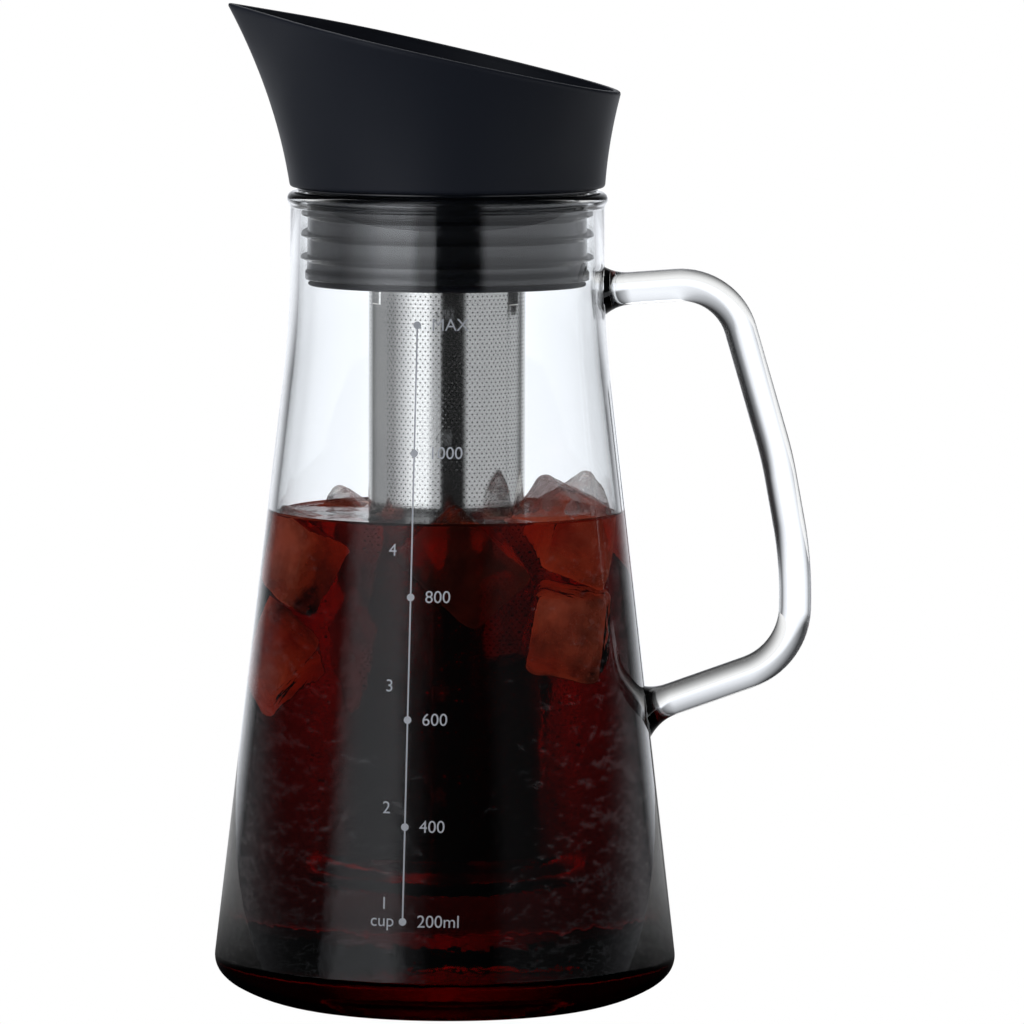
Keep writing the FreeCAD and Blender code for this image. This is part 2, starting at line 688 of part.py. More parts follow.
PIECES = {
    "carafe_body": carafe_body,
    "carafe_handle": carafe_handle,
    "pour_collar": pour_collar,
    "seal_sleeve": seal_sleeve,
    "filter_seat": filter_seat,
    "filter_rim": filter_rim,
    "filter_tube": filter_tube,
    "filter_base": filter_base,
    "filter_cap": filter_cap,
    "cap_gasket": cap_gasket,
    "coffee": coffee,
}
for index in range(len(ICE_PLACES)):
    PIECES["ice_" + str(index + 1)] = partial(ice, index)

os.makedirs("parts", exist_ok=True)
for name, make in PIECES.items():
    shape = make()
    export(shape, name)
    box = shape.BoundBox
    print(name, shape.ShapeType, len(shape.Solids), shape.isValid(), round(shape.Volume, 1), end=" ")
    print([round(value, 2) for value in (box.XMin, box.XMax, box.YMin, box.YMax, box.ZMin, box.ZMax)])
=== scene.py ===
import math

import bmesh
import bpy
from bpy.props import FloatProperty, FloatVectorProperty, IntProperty, PointerProperty
from mathutils import Matrix, Vector, noise


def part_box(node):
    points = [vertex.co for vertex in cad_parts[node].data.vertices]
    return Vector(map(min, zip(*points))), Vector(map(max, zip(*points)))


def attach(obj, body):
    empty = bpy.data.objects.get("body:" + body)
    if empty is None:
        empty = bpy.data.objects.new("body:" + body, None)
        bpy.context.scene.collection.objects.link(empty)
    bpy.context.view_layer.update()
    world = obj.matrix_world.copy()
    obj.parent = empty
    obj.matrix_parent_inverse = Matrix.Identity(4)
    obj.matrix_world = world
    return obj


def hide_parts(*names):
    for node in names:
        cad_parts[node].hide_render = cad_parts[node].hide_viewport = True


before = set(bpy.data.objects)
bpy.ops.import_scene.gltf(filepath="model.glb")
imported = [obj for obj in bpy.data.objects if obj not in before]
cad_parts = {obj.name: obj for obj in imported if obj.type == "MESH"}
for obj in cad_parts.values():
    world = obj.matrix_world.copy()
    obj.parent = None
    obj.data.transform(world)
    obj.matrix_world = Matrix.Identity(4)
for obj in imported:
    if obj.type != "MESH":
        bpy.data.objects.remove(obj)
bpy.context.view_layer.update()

bl_info = {
    "name": "Cold Brew Carafe",
    "version": (1, 0, 0),
    "blender": (4, 5, 0),
    "location": "3D View > Sidebar > Cold Brew",
    "description": "Dresses a glass cold brew carafe with its collar, seal, filter and measure print",
    "category": "Object",
}

MM = 0.001
PRINT_LIFT = 0.04 * MM      # enamel stands this far off the glass
ROUND_STEPS = 192           # steps round the carafe and collar


# Small helpers


def srgb(code, alpha=1.0):
    """Linear colour of an sRGB hex value."""
    channels = [int(code[i:i + 2], 16) / 255 for i in (1, 3, 5)]
    linear = [c / 12.92 if c <= 0.04045 else ((c + 0.055) / 1.055) ** 2.4 for c in channels]
    return (*linear, alpha)


def new_material(name):
    material = bpy.data.materials.new(name)
    material.use_nodes = True
    material.node_tree.nodes.clear()
    return material


def add(tree, kind, links=None, **settings):
    """A node with its settings; links maps each input's name or index to a value or a node's output."""
    node = tree.nodes.new(kind)
    for key, value in settings.items():
        setattr(node, key, value)
    for key, value in (links or {}).items():
        if isinstance(value, bpy.types.NodeSocket):
            tree.links.new(value, node.inputs[key])
        else:
            node.inputs[key].default_value = value
    return node


def finish_surface(material, shader, volume=None):
    tree = material.node_tree
    sockets = {"Surface": shader.outputs[0]}
    if volume is not None:
        sockets["Volume"] = volume.outputs[0]
    add(tree, "ShaderNodeOutputMaterial", sockets)
    return material


def link(mesh, name):
    piece = bpy.data.objects.new(name, mesh)
    bpy.context.scene.collection.objects.link(piece)
    return piece


def mesh_piece(name, points, faces, material, smooth_deg=35.0):
    """A named object from points and faces, merged, facing outwards and smooth up to an angle."""
    mesh = bpy.data.meshes.new(name)
    mesh.from_pydata(points, [], faces)
    tidy_mesh(mesh)
    piece = link(mesh, name)
    mesh.materials.append(material)
    smooth(mesh, smooth_deg)
    return piece


def tidy_mesh(mesh, distance=1e-6):
    work = bmesh.new()
    work.from_mesh(mesh)
    bmesh.ops.remove_doubles(work, verts=work.verts, dist=distance)
    bmesh.ops.dissolve_degenerate(work, dist=distance / 10, edges=work.edges)
    loose = [edge for edge in work.edges if not edge.link_faces]
    bmesh.ops.delete(work, geom=loose, context="EDGES")
    bmesh.ops.recalc_face_normals(work, faces=work.faces)
    work.to_mesh(mesh)
    work.free()


def smooth(mesh, degrees):
    mesh.shade_smooth()
    mesh.set_sharp_from_angle(angle=math.radians(degrees))


def lathe(name, outline, material, steps=ROUND_STEPS, smooth_deg=35.0):
    """A closed outline of (radius, height) pairs turned about Z."""
    points = []
    for radius, height in outline:
        for step in range(steps):
            angle = 2 * math.pi * step / steps
            points.append((radius * math.cos(angle), radius * math.sin(angle), height))
    rows = len(outline)
    faces = []
    for row in range(rows):
        below = row * steps
        above = (row + 1) % rows * steps
        for step in range(steps):
            side = (step + 1) % steps
            faces.append((below + step, below + side, above + side, above + step))
    return mesh_piece(name, points, faces, material, smooth_deg)


def arc(centre, radius, start_deg, end_deg, steps):
    """Points on an arc; angles count from straight down towards +R."""
    points = []
    for index in range(steps + 1):
        angle = math.radians(start_deg + (end_deg - start_deg) * index / steps)
        points.append((centre[0] + radius * math.sin(angle), centre[1] - radius * math.cos(angle)))
    return points


def rounded(outline, radius, steps=4):
    """A closed outline of (radius, height) pairs with each corner rounded."""
    out = []
    count = len(outline)
    for index in range(count):
        before = Vector(outline[index - 1])
        here = Vector(outline[index])
        after = Vector(outline[(index + 1) % count])
        to_before = before - here
        to_after = after - here
        reach = min(radius, to_before.length * 0.45, to_after.length * 0.45)
        start = here + to_before.normalized() * reach
        end = here + to_after.normalized() * reach
        for step in range(steps + 1):
            t = step / steps
            out.append(tuple(start * (1 - t) ** 2 + here * 2 * t * (1 - t) + end * t ** 2))
    return out


def evaluated_copy(piece, name):
    """A plain mesh object of what the modifiers make, in place of the piece."""
    bpy.context.view_layer.update()
    graph = bpy.context.evaluated_depsgraph_get()
    mesh = bpy.data.meshes.new_from_object(piece.evaluated_get(graph))
    mesh.name = name
    bpy.data.objects.remove(piece)
    return link(mesh, name)


def node_copy(node, name, material, body):
    """A merged, smooth copy of a hidden node's own solid with a real finish."""
    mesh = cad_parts[node].data.copy()
    mesh.name = name
    mesh.materials.clear()
    work = bmesh.new()
    work.from_mesh(mesh)
    bmesh.ops.remove_doubles(work, verts=work.verts, dist=1e-6)
    work.to_mesh(mesh)
    work.free()
    mesh.materials.append(material)
    piece = link(mesh, name)
    smooth(mesh, 30.0)
    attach(piece, body)
    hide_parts(node)
    return piece


# Sizes and colours


class CarafeSizes(bpy.types.PropertyGroup):
    neck_radius: FloatProperty(name="Neck radius", description="Outside of the neck", default=39.1 * MM,
                               unit="LENGTH")
    widest_radius: FloatProperty(name="Widest radius", description="Outside of the heel", default=57.6 * MM,
                                 unit="LENGTH")
    widest_height: FloatProperty(name="Widest height", description="Height of the widest point",
                                 default=11.6 * MM, unit="LENGTH")
    cone_top: FloatProperty(name="Shoulder height", description="Where the side meets the neck",
                            default=171.0 * MM, unit="LENGTH")
    height: FloatProperty(name="Glass height", description="Top of the rim bead", default=202.8 * MM,
                          unit="LENGTH")
    wall: FloatProperty(name="Wall", description="Thickness of the glass", default=2.2 * MM, unit="LENGTH")
    bead: FloatProperty(name="Rim bead", description="Half the height of the rim bead", default=1.9 * MM,
                        unit="LENGTH")
    rod_radius: FloatProperty(name="Handle rod radius", description="Radius of the glass rod",
                              default=4.05 * MM, unit="LENGTH")
    foot_radius: FloatProperty(name="Handle foot radius", description="Radius of the fused feet",
                               default=7.2 * MM, unit="LENGTH")
    tint: FloatVectorProperty(name="Glass tint", description="Colour of the glass", subtype="COLOR", size=4,
                              default=srgb("#fcfdfd"))


class CollarSizes(bpy.types.PropertyGroup):
    wall: FloatProperty(name="Wall", description="Thickness of the moulding", default=1.9 * MM,
                        unit="LENGTH")
    foot_radius: FloatProperty(name="Foot radius", description="Outside at the lower edge",
                               default=39.2 * MM, unit="LENGTH")
    foot_height: FloatProperty(name="Foot height", description="Lower edge over the table",
                               default=203.9 * MM, unit="LENGTH")
    skirt_radius: FloatProperty(name="Skirt radius", description="Outside of the skirt in the neck",
                                default=33.4 * MM, unit="LENGTH")
    skirt_foot: FloatProperty(name="Skirt foot", description="Lowest point of the skirt",
                              default=179.6 * MM, unit="LENGTH")
    tip_height: FloatProperty(name="Spout height", description="Top of the spout's tip",
                              default=249.4 * MM, unit="LENGTH")
    low_height: FloatProperty(name="Low rim height", description="Rim over the handle",
                              default=227.8 * MM, unit="LENGTH")
    pinch: FloatProperty(name="Pinch", description="How far each side of the spout is drawn in",
                         default=7.4 * MM, unit="LENGTH")
    colour: FloatVectorProperty(name="Plastic colour", description="Black of the moulding", subtype="COLOR",
                                size=4, default=srgb("#2f333e"))
    sleeve_colour: FloatVectorProperty(name="Sleeve colour", description="Dark grey of the silicone",
                                       subtype="COLOR", size=4, default=srgb("#191d25"))


class FilterSizes(bpy.types.PropertyGroup):
    radius: FloatProperty(name="Radius", description="Outside of the tube", default=19.5 * MM,
                          unit="LENGTH")
    foot: FloatProperty(name="Foot", description="Lower edge of the tube", default=37.5 * MM,
                        unit="LENGTH")
    sheet: FloatProperty(name="Sheet", description="Thickness of the steel", default=0.5 * MM,
                         unit="LENGTH")
    hole: FloatProperty(name="Hole", description="Diameter of one hole", default=0.46 * MM, unit="LENGTH")
    columns: IntProperty(name="Columns", description="Holes round the tube", default=94)
    rows: IntProperty(name="Rows", description="Rows of holes", default=148)
    colour: FloatVectorProperty(name="Steel colour", description="Colour of the stainless steel",
                                subtype="COLOR", size=4, default=srgb("#d6d5d2"))


class DrinkSizes(bpy.types.PropertyGroup):
    level: FloatProperty(name="Level", description="Height of the coffee", default=122.5 * MM,
                         unit="LENGTH")
    colour: FloatVectorProperty(name="Coffee colour", description="Light that a thin layer lets through",
                                subtype="COLOR", size=4, default=srgb("#eaa000"))
    density: FloatProperty(name="Density", description="Strength of the coffee per metre", default=165.0)


class StageSizes(bpy.types.PropertyGroup):
    camera_place: FloatVectorProperty(name="Camera", description="Place of the camera",
                                      default=(0.016363, -2.236905, 0.319023), unit="LENGTH")
    camera_tilt: FloatProperty(name="Tilt", description="How far the camera looks down",
                               default=math.radians(5.0148), subtype="ANGLE")
    camera_roll: FloatProperty(name="Roll", description="Turn about the line of sight", default=0.0041,
                               subtype="ANGLE")
    lens: FloatProperty(name="Lens", description="Focal length in millimetres", default=316.4)
    backdrop: FloatVectorProperty(name="Backdrop", description="Colour behind the object", subtype="COLOR",
                                  size=4, default=srgb("#ffffff"))


def sizes(name):
    return getattr(bpy.context.scene, name)


# Materials
#
# Patterns are given by the real distance between their features. Grain of plastic, silicone and enamel is
# finer than the picture can show, so it is drawn about ten times as coarse.

GLASS_INDEX = 1.474
COFFEE_INDEX = 1.333
GLASS_WAVE = 35.71 * MM      # unevenness of a blown wall
COLLAR_GRAIN = 0.714 * MM
CAP_GRAIN = 0.909 * MM
SILICONE_GRAIN = 1.111 * MM
GLOSS_PATCH = 16.67 * MM     # patches where a moulding is a little more or less glossy
ROLLING_LINE = 0.3846 * MM   # between the rolling lines of the sheet
ROLLING_LENGTH = 16.67 * MM
ENAMEL_GRAIN = 0.4 * MM
COFFEE_RIPPLE = 6.25 * MM
ICE_CRACK = 7.69 * MM
ICE_CLOUD = 20.83 * MM
ICE_BUBBLE = 1.111 * MM


def borosilicate_glass(name, index, unevenness):
    # Blown borosilicate: clear and glossy, slightly uneven; the wetted inside has its index against coffee.
    material = new_material(name)
    tree = material.node_tree
    place = add(tree, "ShaderNodeTexCoord")
    waves = add(tree, "ShaderNodeTexNoise", {
        "Vector": place.outputs["Object"], "Scale": 1 / GLASS_WAVE, "Detail": 1.0,
    })
    bump = add(tree, "ShaderNodeBump", {
        "Strength": unevenness, "Distance": 2 * MM, "Height": waves.outputs[0],
    })
    shader = add(tree, "ShaderNodeBsdfPrincipled", {
        "Base Color": tuple(sizes("carafe_sizes").tint),
        "Roughness": 0.0,
        "IOR": index,
        "Transmission Weight": 1.0,
        "Normal": bump.outputs[0],
    })
    return finish_surface(material, shader)


def moulded_plastic(name, colour, roughness, sheen, grain, depth):
    # Injection-moulded polypropylene: satin black whose fine spark-eroded grain spreads each highlight.
    material = new_material(name)
    tree = material.node_tree
    place = add(tree, "ShaderNodeTexCoord")
    fine = add(tree, "ShaderNodeTexNoise", {
        "Vector": place.outputs["Object"], "Scale": 1 / grain, "Detail": 3.0,
    })
    bump = add(tree, "ShaderNodeBump", {"Strength": depth, "Distance": 0.1 * MM, "Height": fine.outputs[0]})
    broad = add(tree, "ShaderNodeTexNoise", {
        "Vector": place.outputs["Object"], "Scale": 1 / GLOSS_PATCH, "Detail": 2.0,
    })
    gloss = add(tree, "ShaderNodeMapRange", {
        "Value": broad.outputs[0],
        "To Min": roughness - 0.05,
        "To Max": roughness + 0.05,
    })
    shader = add(tree, "ShaderNodeBsdfPrincipled", {
        "Base Color": tuple(colour),
        "Roughness": gloss.outputs[0],
        "IOR": 1.49,
        "Specular IOR Level": sheen,
        "Normal": bump.outputs[0],
    })
    return finish_surface(material, shader)


def silicone_rubber():
    # Compression-moulded silicone: dark grey, smooth, with a soft broad sheen.
    colour = sizes("collar_sizes").sleeve_colour
    return moulded_plastic("silicone_rubber_moulded", colour, 0.16, 0.7, SILICONE_GRAIN, 0.02)


def stainless_steel():
    # Cold-rolled stainless sheet: bright mill finish, its rolling lines run round the tube.
    material = new_material("stainless_steel_sheet")
    tree = material.node_tree
    place = add(tree, "ShaderNodeTexCoord")
    stretch = add(tree, "ShaderNodeMapping", {
        "Vector": place.outputs["Object"],
        "Scale": (1 / ROLLING_LENGTH, 1 / ROLLING_LENGTH, 1 / ROLLING_LINE),
    })
    lines = add(tree, "ShaderNodeTexNoise", {"Vector": stretch.outputs[0], "Scale": 1.0, "Detail": 2.0})
    gloss = add(tree, "ShaderNodeMapRange", {"Value": lines.outputs[0], "To Min": 0.08, "To Max": 0.16})
    bump = add(tree, "ShaderNodeBump", {"Strength": 0.08, "Distance": 0.1 * MM, "Height": lines.outputs[0]})
    shader = add(tree, "ShaderNodeBsdfPrincipled", {
        "Base Color": tuple(sizes("filter_sizes").colour),
        "Metallic": 1.0,
        "Roughness": gloss.outputs[0],
        "Normal": bump.outputs[0],
    })
    return finish_surface(material, shader)


def fired_enamel_painted_glow():
    # Screen-printed white enamel, fired on: matt, a little uneven at its edge, with a painted glow that keeps
    # it bright in front of the dark coffee.
    material = new_material("white_enamel_fired_painted_glow")
    tree = material.node_tree
    place = add(tree, "ShaderNodeTexCoord")
    grain = add(tree, "ShaderNodeTexNoise", {"Vector": place.outputs["Object"], "Scale": 1 / ENAMEL_GRAIN})
    tone = add(tree, "ShaderNodeMix", {
        "Factor": grain.outputs[0],
        6: srgb("#c9ced8"),
        7: srgb("#e6e9ef"),
    }, data_type="RGBA")
    shader = add(tree, "ShaderNodeBsdfPrincipled", {
        "Base Color": tone.outputs[2],
        "Roughness": 0.55,
        # painted glow: the print's own tone, emitted so that it stays bright over the coffee
        "Emission Color": tone.outputs[2],
        "Emission Strength": 0.22,
    })
    return finish_surface(material, shader)


def drink_volume(tree):
    drink = sizes("drink_sizes")
    return add(tree, "ShaderNodeVolumeAbsorption", {
        "Color": tuple(drink.colour),
        "Density": drink.density,
    })


def absorbing_liquid(name, index, strength):
    """A dark extract with a rippled skin that bends light by the given index."""
    material = new_material(name)
    tree = material.node_tree
    place = add(tree, "ShaderNodeTexCoord")
    waves = add(tree, "ShaderNodeTexNoise", {
        "Vector": place.outputs["Object"], "Scale": 1 / COFFEE_RIPPLE, "Detail": 2.0,
    })
    bump = add(tree, "ShaderNodeBump", {"Strength": strength, "Distance": 2 * MM, "Height": waves.outputs[0]})
    shader = add(tree, "ShaderNodeBsdfPrincipled", {
        "Base Color": srgb("#ffffff"),
        "Roughness": 0.0,
        "IOR": index,
        "Transmission Weight": 1.0,
        "Normal": bump.outputs[0],
    })
    return finish_surface(material, shader, drink_volume(tree))


def coffee_surface():
    # Cold brew in the open air: a clear dark extract, red-brown in a thin layer and nearly black in depth.
    return absorbing_liquid("cold_brew_extract", COFFEE_INDEX, 0.15)


def coffee_round_ice():
    # The same extract where it wets the ice, whose index is so close that the skin hardly bends light.
    return absorbing_liquid("cold_brew_round_ice", 1.03, 0.4)


def coffee_at_glass():
    # The same extract inside the glass wall: the glass already bends the light, so this skin is clear.
    material = new_material("cold_brew_at_glass")
    tree = material.node_tree
    return finish_surface(material, add(tree, "ShaderNodeBsdfTransparent"), drink_volume(tree))


def freezer_ice(name, cloudiness):
    # Freezer ice: glassy and wet in the air, and a pale cloud of fine bubbles where the coffee covers it.
    material = new_material(name)
    tree = material.node_tree
    place = add(tree, "ShaderNodeTexCoord")
    cracks = add(tree, "ShaderNodeTexNoise", {
        "Vector": place.outputs["Object"], "Scale": 1 / ICE_CRACK, "Detail": 5.0,
    })
    bump = add(tree, "ShaderNodeBump", {"Strength": 0.6, "Distance": 2 * MM, "Height": cracks.outputs[0]})
    dry = add(tree, "ShaderNodeBsdfPrincipled", {
        "Base Color": srgb("#ffffff"),
        "Roughness": 0.03,
        "IOR": 1.31,
        "Transmission Weight": 1.0,
        "Normal": bump.outputs[0],
    })
    patches = add(tree, "ShaderNodeTexNoise", {
        "Vector": place.outputs["Object"], "Scale": 1 / ICE_CLOUD, "Detail": 7.0, "Roughness": 0.62,
    })
    cloud = add(tree, "ShaderNodeMapRange", {
        "Value": patches.outputs[0], "From Min": 0.38, "From Max": 0.68, "To Min": 0.0, "To Max": 0.55,
    })
    bubbles = add(tree, "ShaderNodeTexVoronoi", {"Vector": place.outputs["Object"], "Scale": 1 / ICE_BUBBLE})
    bubble = add(tree, "ShaderNodeMapRange", {
        "Value": bubbles.outputs["Distance"], "From Min": 0.1, "From Max": 0.2, "To Min": 0.35, "To Max": 0.0,
    })
    both = add(tree, "ShaderNodeMath", {0: cloud.outputs[0], 1: bubble.outputs[0]}, operation="MAXIMUM")
    milky = add(tree, "ShaderNodeMath", {0: both.outputs[0], 1: cloudiness}, operation="MULTIPLY")
    clear = add(tree, "ShaderNodeBsdfTransparent")
    frost = add(tree, "ShaderNodeBsdfTranslucent", {"Color": srgb("#f4f6f8"), "Normal": bump.outputs[0]})
    skin = add(tree, "ShaderNodeBsdfDiffuse", {"Color": srgb("#f4f6f8"), "Normal": bump.outputs[0]})
    pale = add(tree, "ShaderNodeMixShader", {0: 0.5, 1: frost.outputs[0], 2: skin.outputs[0]})
    # painted glow: a reddish emission standing in for light scattered many times in the cloud, already tinted
    # by the coffee it came through
    ice_painted_glow = add(tree, "ShaderNodeEmission", {"Color": srgb("#b05038"), "Strength": 0.5})
    lit = add(tree, "ShaderNodeAddShader", {0: pale.outputs[0], 1: ice_painted_glow.outputs[0]})
    wet = add(tree, "ShaderNodeMixShader", {0: milky.outputs[0], 1: clear.outputs[0], 2: lit.outputs[0]})
    height = add(tree, "ShaderNodeSeparateXYZ", {0: place.outputs["Object"]}).outputs["Z"]
    level = sizes("drink_sizes").level
    above = add(tree, "ShaderNodeMath", {0: height, 1: level}, operation="GREATER_THAN")
    open_air = add(tree, "ShaderNodeMixShader", {0: 0.6, 1: clear.outputs[0], 2: dry.outputs[0]})
    shader = add(tree, "ShaderNodeMixShader", {
        0: above.outputs[0], 1: wet.outputs[0], 2: open_air.outputs[0],
    })
    return finish_surface(material, shader)


# Glass carafe

HEEL = ((6.5, 50.0), (12.0, 30.0), (36.0, None))   # radius in mm and slope where each heel curve ends
FOOT_INNER = 31.0 * MM
PUNT_RISE = 3.4 * MM
FLOOR = 3.4 * MM
SHOULDER_BLEND = 14.0 * MM                         # half length of the soft turn from side to neck
HANDLE_CORNERS = (                                 # corners of the rod's axis, X and Z in mm
    (39.1, 178.3), (69.6, 180.6), (82.4, 137.0), (87.2, 111.0), (87.1, 87.0), (50.2, 73.8),
)
HANDLE_BENDS = (15.5, 100.0, 100.0, 17.5)          # bend radii in mm
FOOT_LENGTH = 8.0 * MM       # over which the rod swells into its foot
FOOT_DEPTH = 1.4 * MM        # how far the foot reaches into the wall
MENISCUS = 0.9 * MM          # the coffee climbs this far up the glass


def cone_angle():
    carafe = sizes("carafe_sizes")
    return math.atan2(carafe.widest_radius - carafe.neck_radius, carafe.cone_top - carafe.widest_height)


def heel_curve(inset):
    """Points down the heel from the side to the foot ring, drawn in by the inset."""
    carafe = sizes("carafe_sizes")
    radius = HEEL[0][0] * MM
    centre = (carafe.widest_radius - radius, carafe.widest_height)
    start = 90 + math.degrees(cone_angle())
    points = []
    for index, (size, end) in enumerate(HEEL):
        if index:
            grown = size * MM
            turn = math.radians(start)
            step = grown - radius
            centre = (centre[0] - step * math.sin(turn), centre[1] + step * math.cos(turn))
            radius = grown
        if end is None:
            end = math.degrees(math.acos(min(1.0, centre[1] / radius)))
        points += arc(centre, radius - inset, start, end, 10)[(1 if index else 0):]
        start = end
    return points


def dome(edge, top_height, steps=14):
    """Points from near the axis to the edge over a shallow dome."""
    rise = top_height - edge[1]
    points = []
    for index in range(steps):
        share = index / steps
        points.append((edge[0] * share, edge[1] + rise * (1 - share * share)))
    return points


def carafe_outline():
    """Closed outline of the glass from the axis under the base, round the outside and back down the bore."""
    carafe = sizes("carafe_sizes")
    neck, wall, top = carafe.neck_radius, carafe.wall, carafe.height
    bead = carafe.bead
    outline = [(0.0, PUNT_RISE)] + dome((FOOT_INNER, 0.0), PUNT_RISE)[1:] + [(FOOT_INNER, 0.0)]
    outline += list(reversed(heel_curve(0)))
    outline += side_points(neck, 0)
    bead_centre = (neck + 0.8 * MM - bead, top - bead)
    outline.append((neck, top - 2.15 * bead))
    outline += arc(bead_centre, bead, 42, 180, 12)
    bore = neck - wall
    outline += [
        (bead_centre[0] - 0.5 * bead, top - 0.02 * bead),
        (bore + 0.2 * bead, top - 0.22 * bead),
        (bore, top - 0.7 * bead),
    ]
    outline += list(reversed(side_points(bore, wall)))
    wet_top = sizes("drink_sizes").level + MENISCUS
    outline.append((side_radius(wet_top) - wall / math.cos(cone_angle()), wet_top))
    inside = heel_curve(wall)
    kept = [p for p in inside if p[0] > inside[-1][0] + 1 * MM]
    floor_edge = kept[-1]
    outline += kept
    outline += list(reversed(dome(floor_edge, PUNT_RISE + FLOOR)))
    return outline


def side_points(neck, inset):
    """The tapered side and its soft turn into the neck, bottom to top."""
    carafe = sizes("carafe_sizes")
    angle = cone_angle()
    corner_z = carafe.cone_top - inset * math.tan(angle / 2)
    points = []
    for index in range(13):
        t = index / 12
        start = (neck + SHOULDER_BLEND * math.sin(angle), corner_z - SHOULDER_BLEND * math.cos(angle))
        end = (neck, corner_z + SHOULDER_BLEND)
        a, b, c = (1 - t) ** 2, 2 * t * (1 - t), t * t
        points.append((a * start[0] + b * neck + c * end[0], a * start[1] + b * corner_z + c * end[1]))
    return points


def handle_path():
    """Points along the rod's axis, from its upper foot to its lower one."""
    corners = [Vector((x * MM, 0, z * MM)) for x, z in HANDLE_CORNERS]
    corners[0] -= (corners[1] - corners[0]).normalized() * FOOT_DEPTH
    corners[-1] -= (corners[-2] - corners[-1]).normalized() * FOOT_DEPTH
    path = [corners[0]]
    for before, corner, after, bend in zip(corners, corners[1:], corners[2:], HANDLE_BENDS):
        into = (corner - before).normalized()
        out = (after - corner).normalized()
        turn = into.angle(out)
        reach = bend * MM * math.tan(turn / 2)
        inward = (out - into * math.cos(turn)).normalized()
        centre = corner - into * reach + inward * bend * MM
        run = corner - into * reach - path[-1]
        for index in range(1, 9):
            path.append(path[-1] + run / 8)
        for index in range(1, 17):
            angle = turn * index / 16
            path.append(centre - inward * bend * MM * math.cos(angle) + into * bend * MM * math.sin(angle))
    run = corners[-1] - path[-1]
    for index in range(1, 13):
        path.append(path[-1] + run / 12)
    return path


def handle_rod(material):
    """The bent rod as a tube that swells into its fused feet."""
    carafe = sizes("carafe_sizes")
    path = finer_ends(handle_path())
    lengths = [0.0]
    for a, b in zip(path, path[1:]):
        lengths.append(lengths[-1] + (b - a).length)
    total = lengths[-1]
    steps = 40
    points, faces = [], []
    for index, here in enumerate(path):
        ahead = path[min(index + 1, len(path) - 1)]
        behind = path[max(index - 1, 0)]
        along = (ahead - behind).normalized()
        side = Vector((0, 1, 0))
        up = side.cross(along)
        near = min(lengths[index], total - lengths[index])
        swell = max(0.0, 1 - near / FOOT_LENGTH) ** 2.2
        radius = carafe.rod_radius + (carafe.foot_radius - carafe.rod_radius) * swell
        for step in range(steps):
            angle = 2 * math.pi * step / steps
            points.append(here + side * radius * math.cos(angle) + up * radius * math.sin(angle))
    for row in range(len(path) - 1):
        for step in range(steps):
            a = row * steps + step
            b = row * steps + (step + 1) % steps
            faces.append((a, b, b + steps, a + steps))
    faces.append(tuple(range(steps)))
    last = (len(path) - 1) * steps
    faces.append(tuple(range(last, last + steps)))
    return mesh_piece("handle_rod", points, faces, material, 60.0)


def finer_ends(path):
    """The path with extra points in its first and last runs, where the rod swells."""
    out = []
    for index, (a, b) in enumerate(zip(path, path[1:])):
        parts = 5 if index < 4 or index > len(path) - 7 else 1
        out += [a.lerp(b, part / parts) for part in range(parts)]
    out.append(path[-1])
    return out


def is_wetted(face):
    """Whether a face of the glass lies inside, below the coffee's level."""
    centre, normal = face.center, face.normal
    radius = math.hypot(centre.x, centre.y)
    inwards = (centre.x * normal.x + centre.y * normal.y) / max(radius, 1e-6)
    inside = radius < side_radius(centre.z) - sizes("carafe_sizes").wall / 2
    faces_in = inwards < -0.3 or (normal.z > 0.3 and centre.z < 0.3 * sizes("drink_sizes").level)
    return inside and faces_in and centre.z < sizes("drink_sizes").level + MENISCUS


def make_glass():
    glass = borosilicate_glass("borosilicate_glass_blown", GLASS_INDEX, 0.02)
    wetted = borosilicate_glass("borosilicate_glass_wetted", GLASS_INDEX / COFFEE_INDEX, 0.005)
    body = lathe("carafe_shell", carafe_outline(), glass, smooth_deg=60.0)
    rod = handle_rod(glass)
    join = body.modifiers.new("fused", "BOOLEAN")
    join.operation = "UNION"
    join.solver = "EXACT"
    join.object = rod
    piece = evaluated_copy(body, "carafe_glass")
    bpy.data.objects.remove(rod)
    piece.data.materials.clear()
    piece.data.materials.append(glass)
    piece.data.materials.append(wetted)
    tidy_mesh(piece.data)
    for face in piece.data.polygons:
        face.material_index = 1 if is_wetted(face) else 0
    smooth(piece.data, 60.0)
    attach(piece, "carafe")
    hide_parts("carafe_body", "carafe_handle")
    return piece


# Pouring collar

FLARE_SLOPE = 0.11           # how the flare opens at its foot, and how fast it opens further up
FLARE_GROWTH = 4.22          # per metre
LEAN = 0.045                 # the flare's axis leans towards the spout
PINCH_SPAN = 70.0            # degrees from the spout's ridge to where the pinch ends
PINCH_SKEW = 0.75
PINCH_START = 5.0 * MM       # above the collar's foot
TIP_ROUND = 4.0              # degrees over which the ridge is rounded
SKIRT_WALL = 1.7 * MM
LEDGE = 1.6 * MM             # inner ledge that carries the filter seat
LIP_ROUND = 0.8 * MM
FOOT_ROUND = 0.9 * MM
CUFF_STOP = 1.2 * MM         # foot of the skirt stands out this far and keeps the sleeve on
RIM_LOW_X = 43.0 * MM
SPOUT_TIP_X = -54.8 * MM
FLARE_ROWS = 44


def pinch_share(degrees):
    rounded_angle = math.hypot(degrees, TIP_ROUND)
    share = (rounded_angle / PINCH_SPAN) ** PINCH_SKEW
    if share >= 1:
        return 0.0
    base = (TIP_ROUND / PINCH_SPAN) ** PINCH_SKEW
    return math.sin(math.pi * share) - math.sin(math.pi * base) * (1 - share) / (1 - base)


